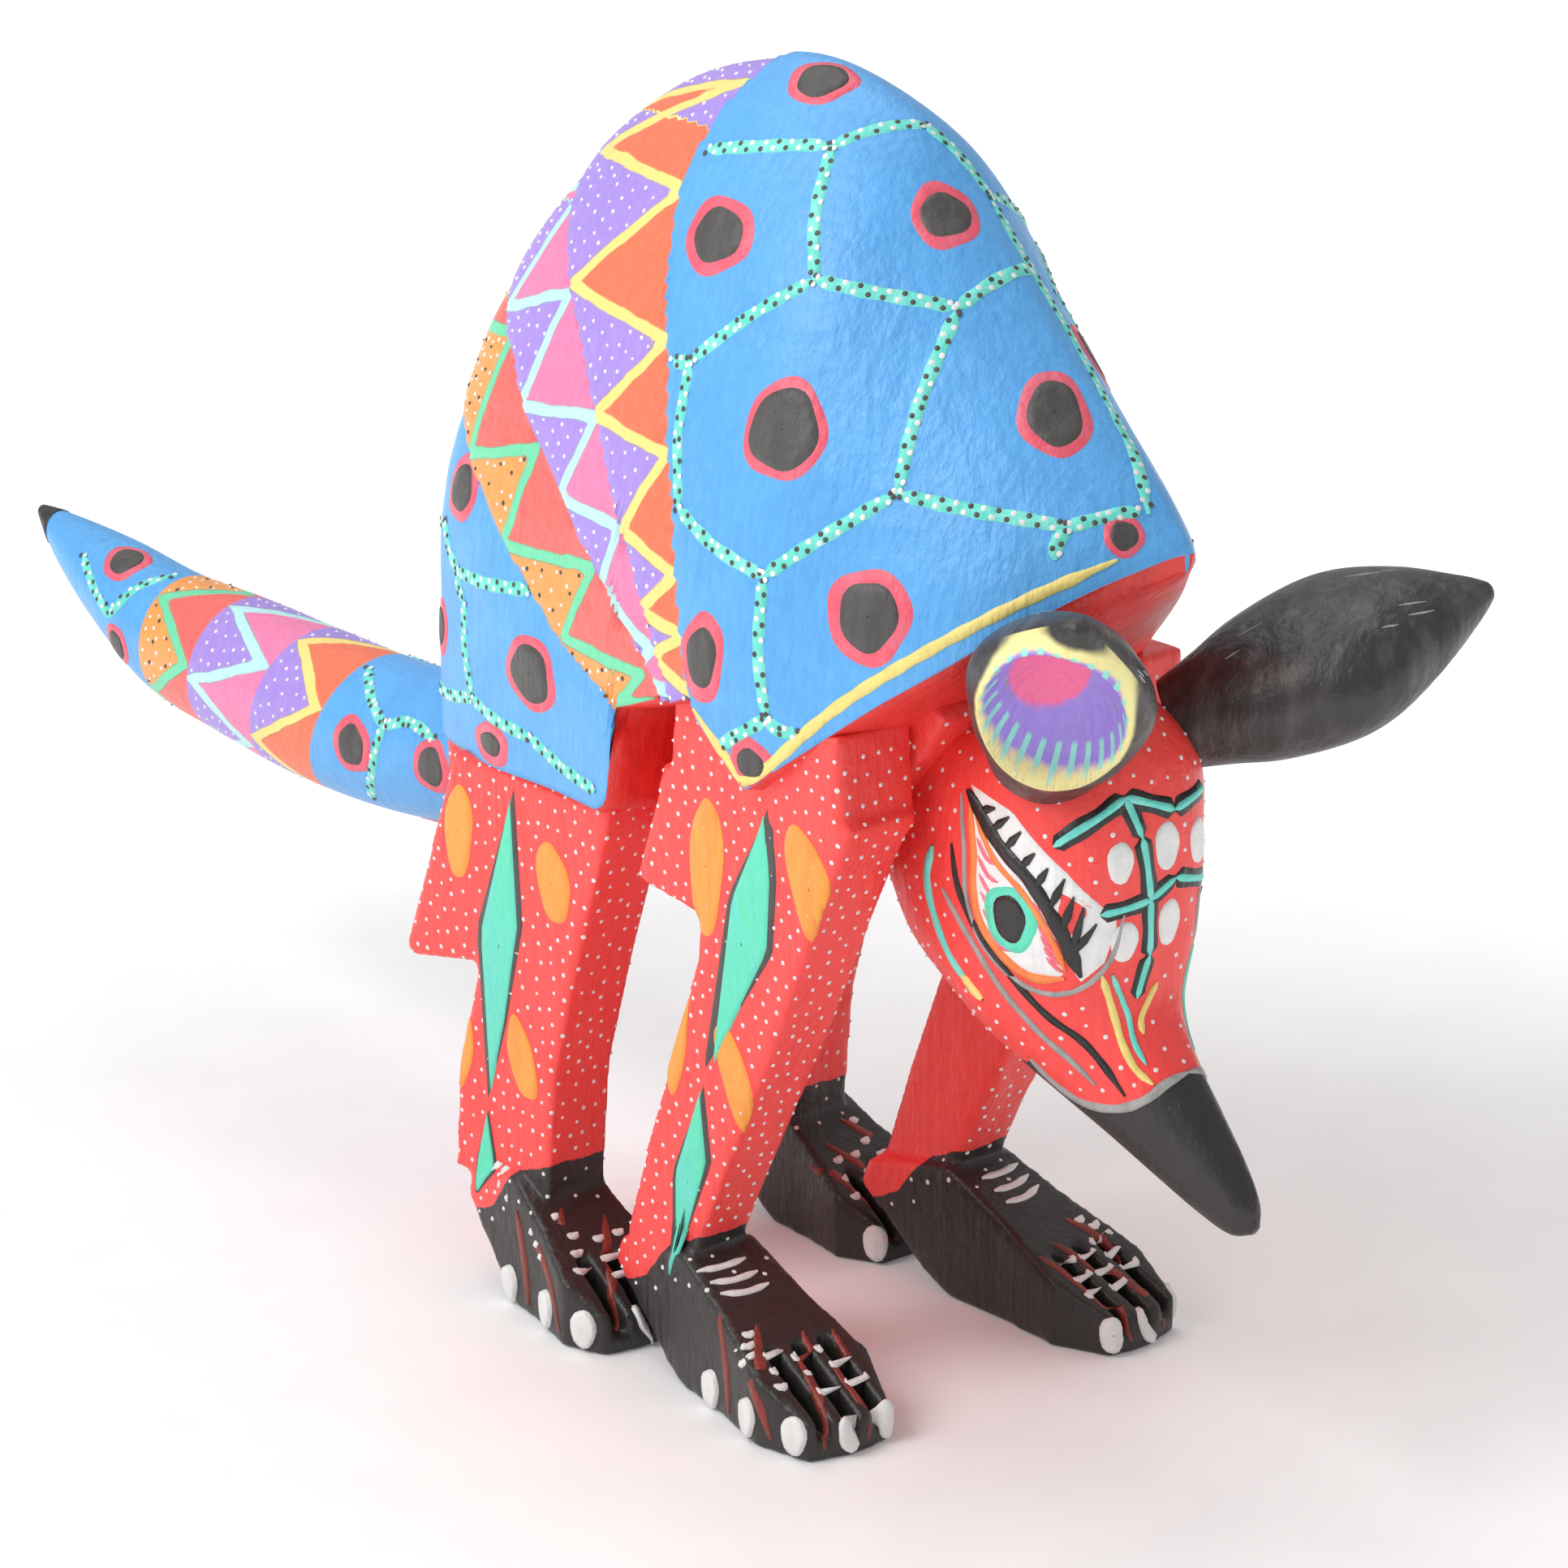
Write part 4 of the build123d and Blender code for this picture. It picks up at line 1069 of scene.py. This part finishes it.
eye_red = Layer("eye_stripes", head_skin, PINK_PAINT, "red_paint")
iris = Layer("irises", head_skin, DIAMOND_PAINT, "red_paint")
pupils = Layer("pupils", head_skin, PUPIL_PAINT, "black_paint")
black_lines = Layer("face_black_lines", head_skin, PUPIL_PAINT, "black_paint")
grey_lines = Layer("face_grey_lines", head_skin, GREY_PAINT, "red_paint")
orange_lines = Layer("face_orange_lines", head_skin, EYE_LINE_PAINT, "red_paint")
teal_lines = Layer("face_teal_lines", head_skin, TURQUOISE_PAINT, "red_paint")
yellow_lines = Layer("face_yellow_lines", head_skin, YELLOW_PAINT, "red_paint")
LID = [(-17.0, -107.5, 103.8), (-17.6, -114.6, 98.0), (-16.9, -121.4, 93.3), (-15.2, -125.3, 87.1),
    (-12.4, -127.0, 79.6)]
LASHES = [(-17.3, -113.8, 102.6), (-17.1, -116.7, 102.0), (-17.0, -119.2, 100.4), (-16.6, -121.8, 97.8),
    (-16.0, -123.9, 96.0),
          (-15.0, -126.2, 94.8), (-14.2, -127.2, 92.2), (-13.3, -128.2, 90.6), (-11.8, -129.3, 88.0)]
lid_rows = smooth_through(LID, 10)
for side in (1, -1):
    eye_white.shape([(-17.0, -107.5, 105.0), (-17.0, -117.0, 103.0), (-14.8, -126.6, 95.6),
        (-8.5, -130.4, 88.0),
                      (-9.6, -128.8, 81.5), (-12.4, -127.0, 78.2), (-15.2, -124.8, 86.0),
                      (-16.9, -121.2, 92.3), (-17.6, -115.2, 97.0)],
                     0.12, side)
    eye_white.shape(RIGHT_EYE, 0.18, side)
    for step in range(6):
        share = step / 5
        eye_red.ribbon([(-17.8, -110.6 - 2.2 * share, 97.5 - 13.0 * share),
            (-17.6, -113.0 - 2.0 * share, 95.0 - 12.6 * share),
                        (-17.4, -115.0 - 2.4 * share, 94.5 - 12.6 * share)], 0.9, 0.3, side=side)
        eye_red.ribbon([(-16.8, -121.8 - 0.4 * step, 90.5 - 1.7 * step),
            (-15.8, -123.0 - 0.3 * step, 88.0 - 1.4 * step),
                        (-14.6, -124.4 - 0.2 * step, 86.0 - 1.2 * step)], 0.8, 0.3, side=side)
    iris.blob((-17.4, -117.6, 87.0), 5.2, 5.3, 0.34, side)
    pupils.blob((-17.4, -117.6, 87.1), 3.2, 3.9, 0.48, side)
    orange_lines.ribbon(RIGHT_EYE[:7], 1.7, 0.38, side=side)
    orange_lines.ribbon([(-17.4, -110.0, 100.4), (-17.7, -114.4, 95.4), (-17.0, -120.4, 91.2),
        (-15.6, -123.9, 86.0), (-13.6, -125.2, 80.4)],
                        1.2, 0.38, side=side)
    black_lines.ribbon(LID, 2.5, 0.44, side=side)
    for index, tip in enumerate(LASHES):
        root = lid_rows[index + 1 if index < 8 else 8]
        black_lines.ribbon([tuple(root), tip], 1.4, 0.38, 0.6, side)
    black_lines.ribbon([(-17.7, -104.9, 95.1), (-18.0, -106.8, 88.9), (-17.8, -111.4, 82.8),
        (-16.7, -116.8, 78.0), (-13.9, -121.1, 73.0),
                        (-10.7, -124.8, 69.7), (-9.1, -127.7, 66.3), (-8.1, -131.8, 61.2)], 1.3, 0.3,
                        side=side)
    grey_lines.ribbon([(-17.9, -103.1, 87.8), (-17.8, -110.2, 80.7), (-16.0, -116.1, 73.8),
        (-12.6, -120.8, 68.2), (-9.4, -127.1, 61.9)],
                      1.1, 0.3, side=side)
    grey_lines.ribbon([(-17.0, -106.3, 103.0), (-17.9, -107.8, 95.0), (-18.0, -108.6, 88.5),
        (-17.6, -112.0, 81.5), (-15.2, -119.8, 76.6),
                       (-12.4, -125.6, 77.2), (-9.2, -129.0, 82.0), (-7.9, -130.6, 89.0)], 0.9, 0.3,
                       side=side)
    teal_lines.ribbon([(-17.5, -100.5, 93.6), (-17.6, -99.3, 88.2), (-17.6, -101.1, 82.1),
        (-17.4, -103.9, 76.8), (-17.0, -107.8, 73.4)],
                      1.7, 0.3, side=side)
    yellow_lines.ribbon([(-17.2, -106.2, 74.8), (-16.8, -108.4, 73.0), (-16.2, -110.4, 72.2)], 1.9, 0.4,
        side=side)
    grey_lines.ribbon([(-12.8, -116.6, 63.6), (-10.9, -119.2, 60.0), (-9.6, -123.9, 58.0),
        (-8.5, -130.3, 58.8), (-6.8, -134.9, 61.4),
                       (-3.8, -136.3, 63.6), (0.0, -136.8, 64.6)], 1.5, 0.3, side=side)
    yellow_lines.ribbon([(-9.9, -128.2, 79.9), (-7.3, -128.0, 73.3), (-6.7, -129.9, 68.6),
        (-6.4, -132.5, 65.3), (-5.4, -135.1, 63.4)],
                        1.2, 0.3, side=side)
    teal_lines.ribbon([(-8.4, -128.4, 79.9), (-5.6, -128.4, 73.3), (-5.2, -130.3, 68.6),
        (-4.9, -132.9, 65.6)], 0.9, 0.3, side=side)
yellow_lines.ribbon([(-0.5, -129.0, 76.7), (-3.6, -129.4, 72.0), (-4.1, -130.9, 69.6)], 1.0, 0.3)
STAR = [((-7.3, -130.0, 106.1), (-15.4, -124.4, 99.2)), ((-7.3, -130.0, 106.1), (-5.4, -131.7, 100.1)),
    ((-5.4, -131.7, 100.1), (-3.5, -131.5, 90.4)),
        ((-7.3, -130.0, 106.1), (1.2, -131.6, 102.9)), ((-3.5, -131.5, 90.4), (-11.2, -129.3, 89.4)),
        ((-3.5, -131.5, 90.4), (1.2, -131.9, 92.8)),
        ((-3.5, -131.5, 90.4), (-2.7, -130.1, 81.7)), ((-2.7, -130.1, 81.7), (-4.2, -128.9, 75.0)),
        ((1.2, -131.6, 102.9), (9.0, -129.0, 104.0)),
        ((1.2, -131.9, 92.8), (9.0, -129.8, 90.5))]
for start, end in STAR:
    black_lines.ribbon([start, end], 3.2, 0.2, 0.1)
    teal_lines.ribbon([start, end], 1.3, 0.32, 0.1)
for patch, wide, tall in (((-8.9, -131.0, 96.9), 1.8, 2.6), ((-0.7, -132.1, 98.0), 2.0, 3.0),
    ((-7.3, -130.1, 84.6), 2.0, 2.6),
                          ((0.6, -131.0, 86.0), 1.8, 3.0), ((6.5, -131.0, 97.0), 2.2, 2.8)):
    eye_white.blob(patch, wide * 1.2, tall * 1.25, 0.24)
for layer in (eye_white, eye_red, iris, pupils, black_lines, grey_lines, orange_lines, teal_lines,
    yellow_lines):
    layer.done()
head_black = snout_top - head_skin.points[:, 2]
cheek_dots = Layer("head_white_dots", head_skin, WHITE_PAINT, "red_paint")
cheek_dots.scatter((head_black < -2) & head_skin.free_of_paint(1.2), 2.9, 0.38, 30)
cheek_dots.done()
belly_skin = Skin(belly, "figure")
chest_dots = Layer("chest_white_dots", belly_skin, WHITE_PAINT, "red_paint")
chest_dots.scatter((belly_skin.normals[:, 1] < -0.4) | (np.abs(belly_skin.normals[:, 0]) > 0.9), 3.2, 0.4, 31)
chest_dots.done()
# pale scuffs on the outside of the ears
for side_name, ear_obj in (("right", right_ear), ("left", left_ear)):
    ear_skin = Skin(ear_obj, f"{side_name}_ear")
    seat, way, facing = (np.array(v, float) for v in EARS[side_name])
    way /= np.linalg.norm(way)
    facing -= way * facing.dot(way)
    facing /= np.linalg.norm(facing)
    across = np.cross(way, facing)
    lint = Layer(f"{side_name}_ear_scuffs", ear_skin, GREY_PAINT, "black_paint")
    chance = random.Random(5)
    for _ in range(16):
        turn, start = chance.uniform(math.pi, 2 * math.pi), chance.uniform(6, 40)
        out = across * math.cos(turn) + facing * math.sin(turn)
        lint.ribbon([tuple(seat + way * start + out * 9),
            tuple(seat + way * (start + chance.uniform(2, 6)) + out * 9)], 0.35, 0.08, 0.5)
    lint.done()


# ---- CAD pieces that stay: pegs and dowels of bare wood ----
WOOD = Paint("bare wood")
wood_rings = WOOD.noise(400, 4, (1, 1, 0.1))
BARE_WOOD = WOOD.finish(WOOD.mix(WOOD.step(wood_rings, 0.5, 0.2), linear(222, 190, 140),
    linear(186, 146, 96)), 0.6)
for node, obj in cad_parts.items():
    if node.endswith(("dowel", "peg")):
        obj.data.materials.clear()
        obj.data.materials.append(BARE_WOOD)


# ---- floor, light and camera ----
def make_floor():
    """White paper with painted light: it glows a little everywhere, which lightens the shadows by the feet,
    and fades into a strong glow away from the figure, standing in for a lit studio sweep.
    """
    mesh = bpy.data.meshes.new("floor")
    reach = 4.0
    mesh.from_pydata([(-reach, -reach, 0), (reach, -reach, 0), (reach, reach, 0), (-reach, reach, 0)], [],
        [(0, 1, 2, 3)])
    floor = bpy.data.objects.new("floor", mesh)
    bpy.context.scene.collection.objects.link(floor)
    paper = Paint("white paper")
    distance = paper.add("ShaderNodeVectorMath", {0: paper.place}, operation="LENGTH").outputs["Value"]
    painted_glow_share = paper.add("ShaderNodeMapRange", {"Value": distance, "From Min": 0.1, "From Max": 0.42},
                           interpolation_type="SMOOTHSTEP").outputs[0]
    mesh.materials.append(paper.finish((0.95, 0.945, 0.94, 1), 0.7, ripple=0.0, grain=0.0, coat=0.0))
    shader = next(n for n in paper.tree.nodes if n.type == "BSDF_PRINCIPLED")
    shader.inputs["Emission Color"].default_value = (1, 1, 1, 1)
    # painted light: the paper's own glow, faint by the figure and strong away from it
    glow = paper.math("ADD", paper.math("MULTIPLY", painted_glow_share, 0.55), 0.09)
    paper.tree.links.new(glow, shader.inputs["Emission Strength"])


def add_area(name, azimuth, elevation, distance, size, watts, colour=(1, 1, 1)):
    """A soft box aimed at the figure's middle, placed by its angles as the camera is."""
    data = bpy.data.lights.new(name, "AREA")
    data.shape, data.size, data.energy, data.color = "SQUARE", size, watts, colour
    lamp = bpy.data.objects.new(name, data)
    bpy.context.scene.collection.objects.link(lamp)
    aim_at(lamp, azimuth, elevation, distance)


AIM = Vector((MIDDLE_X - 20, -68, 100)) * MM


def aim_at(obj, azimuth, elevation, distance):
    a, e = math.radians(azimuth), math.radians(elevation)
    offset = Vector((math.sin(a) * math.cos(e), -math.cos(a) * math.cos(e), math.sin(e)))
    obj.location = AIM + offset * distance
    obj.rotation_euler = offset.to_track_quat("Z", "Y").to_euler()


make_floor()
add_area("key", -105, 42, 1.0, 0.55, 5.4)
add_area("top", 170, 66, 1.1, 0.8, 3.4)
world = bpy.data.worlds.new("white room")
world.use_nodes = True
tree = world.node_tree
glow, backdrop = tree.nodes["Background"], tree.nodes.new("ShaderNodeBackground")
glow.inputs[1].default_value = 0.47
glow.inputs[0].default_value = backdrop.inputs[0].default_value = (1, 1, 1, 1)
seen = tree.nodes.new("ShaderNodeLightPath")
choose = tree.nodes.new("ShaderNodeMixShader")
tree.links.new(seen.outputs["Is Camera Ray"], choose.inputs[0])
tree.links.new(glow.outputs[0], choose.inputs[1])
tree.links.new(backdrop.outputs[0], choose.inputs[2])
tree.links.new(choose.outputs[0], tree.nodes["World Output"].inputs[0])
bpy.context.scene.world = world
bpy.context.scene.view_settings.view_transform = "Standard"

camera_data = bpy.data.cameras.new("camera")
camera_data.lens = 139.2
camera_data.sensor_width = 36
camera_data.shift_x = 0.0083
camera_data.shift_y = -0.0186
camera = bpy.data.objects.new("camera", camera_data)
bpy.context.scene.collection.objects.link(camera)
aim_at(camera, -41, 18, 0.9)
bpy.context.scene.camera = camera
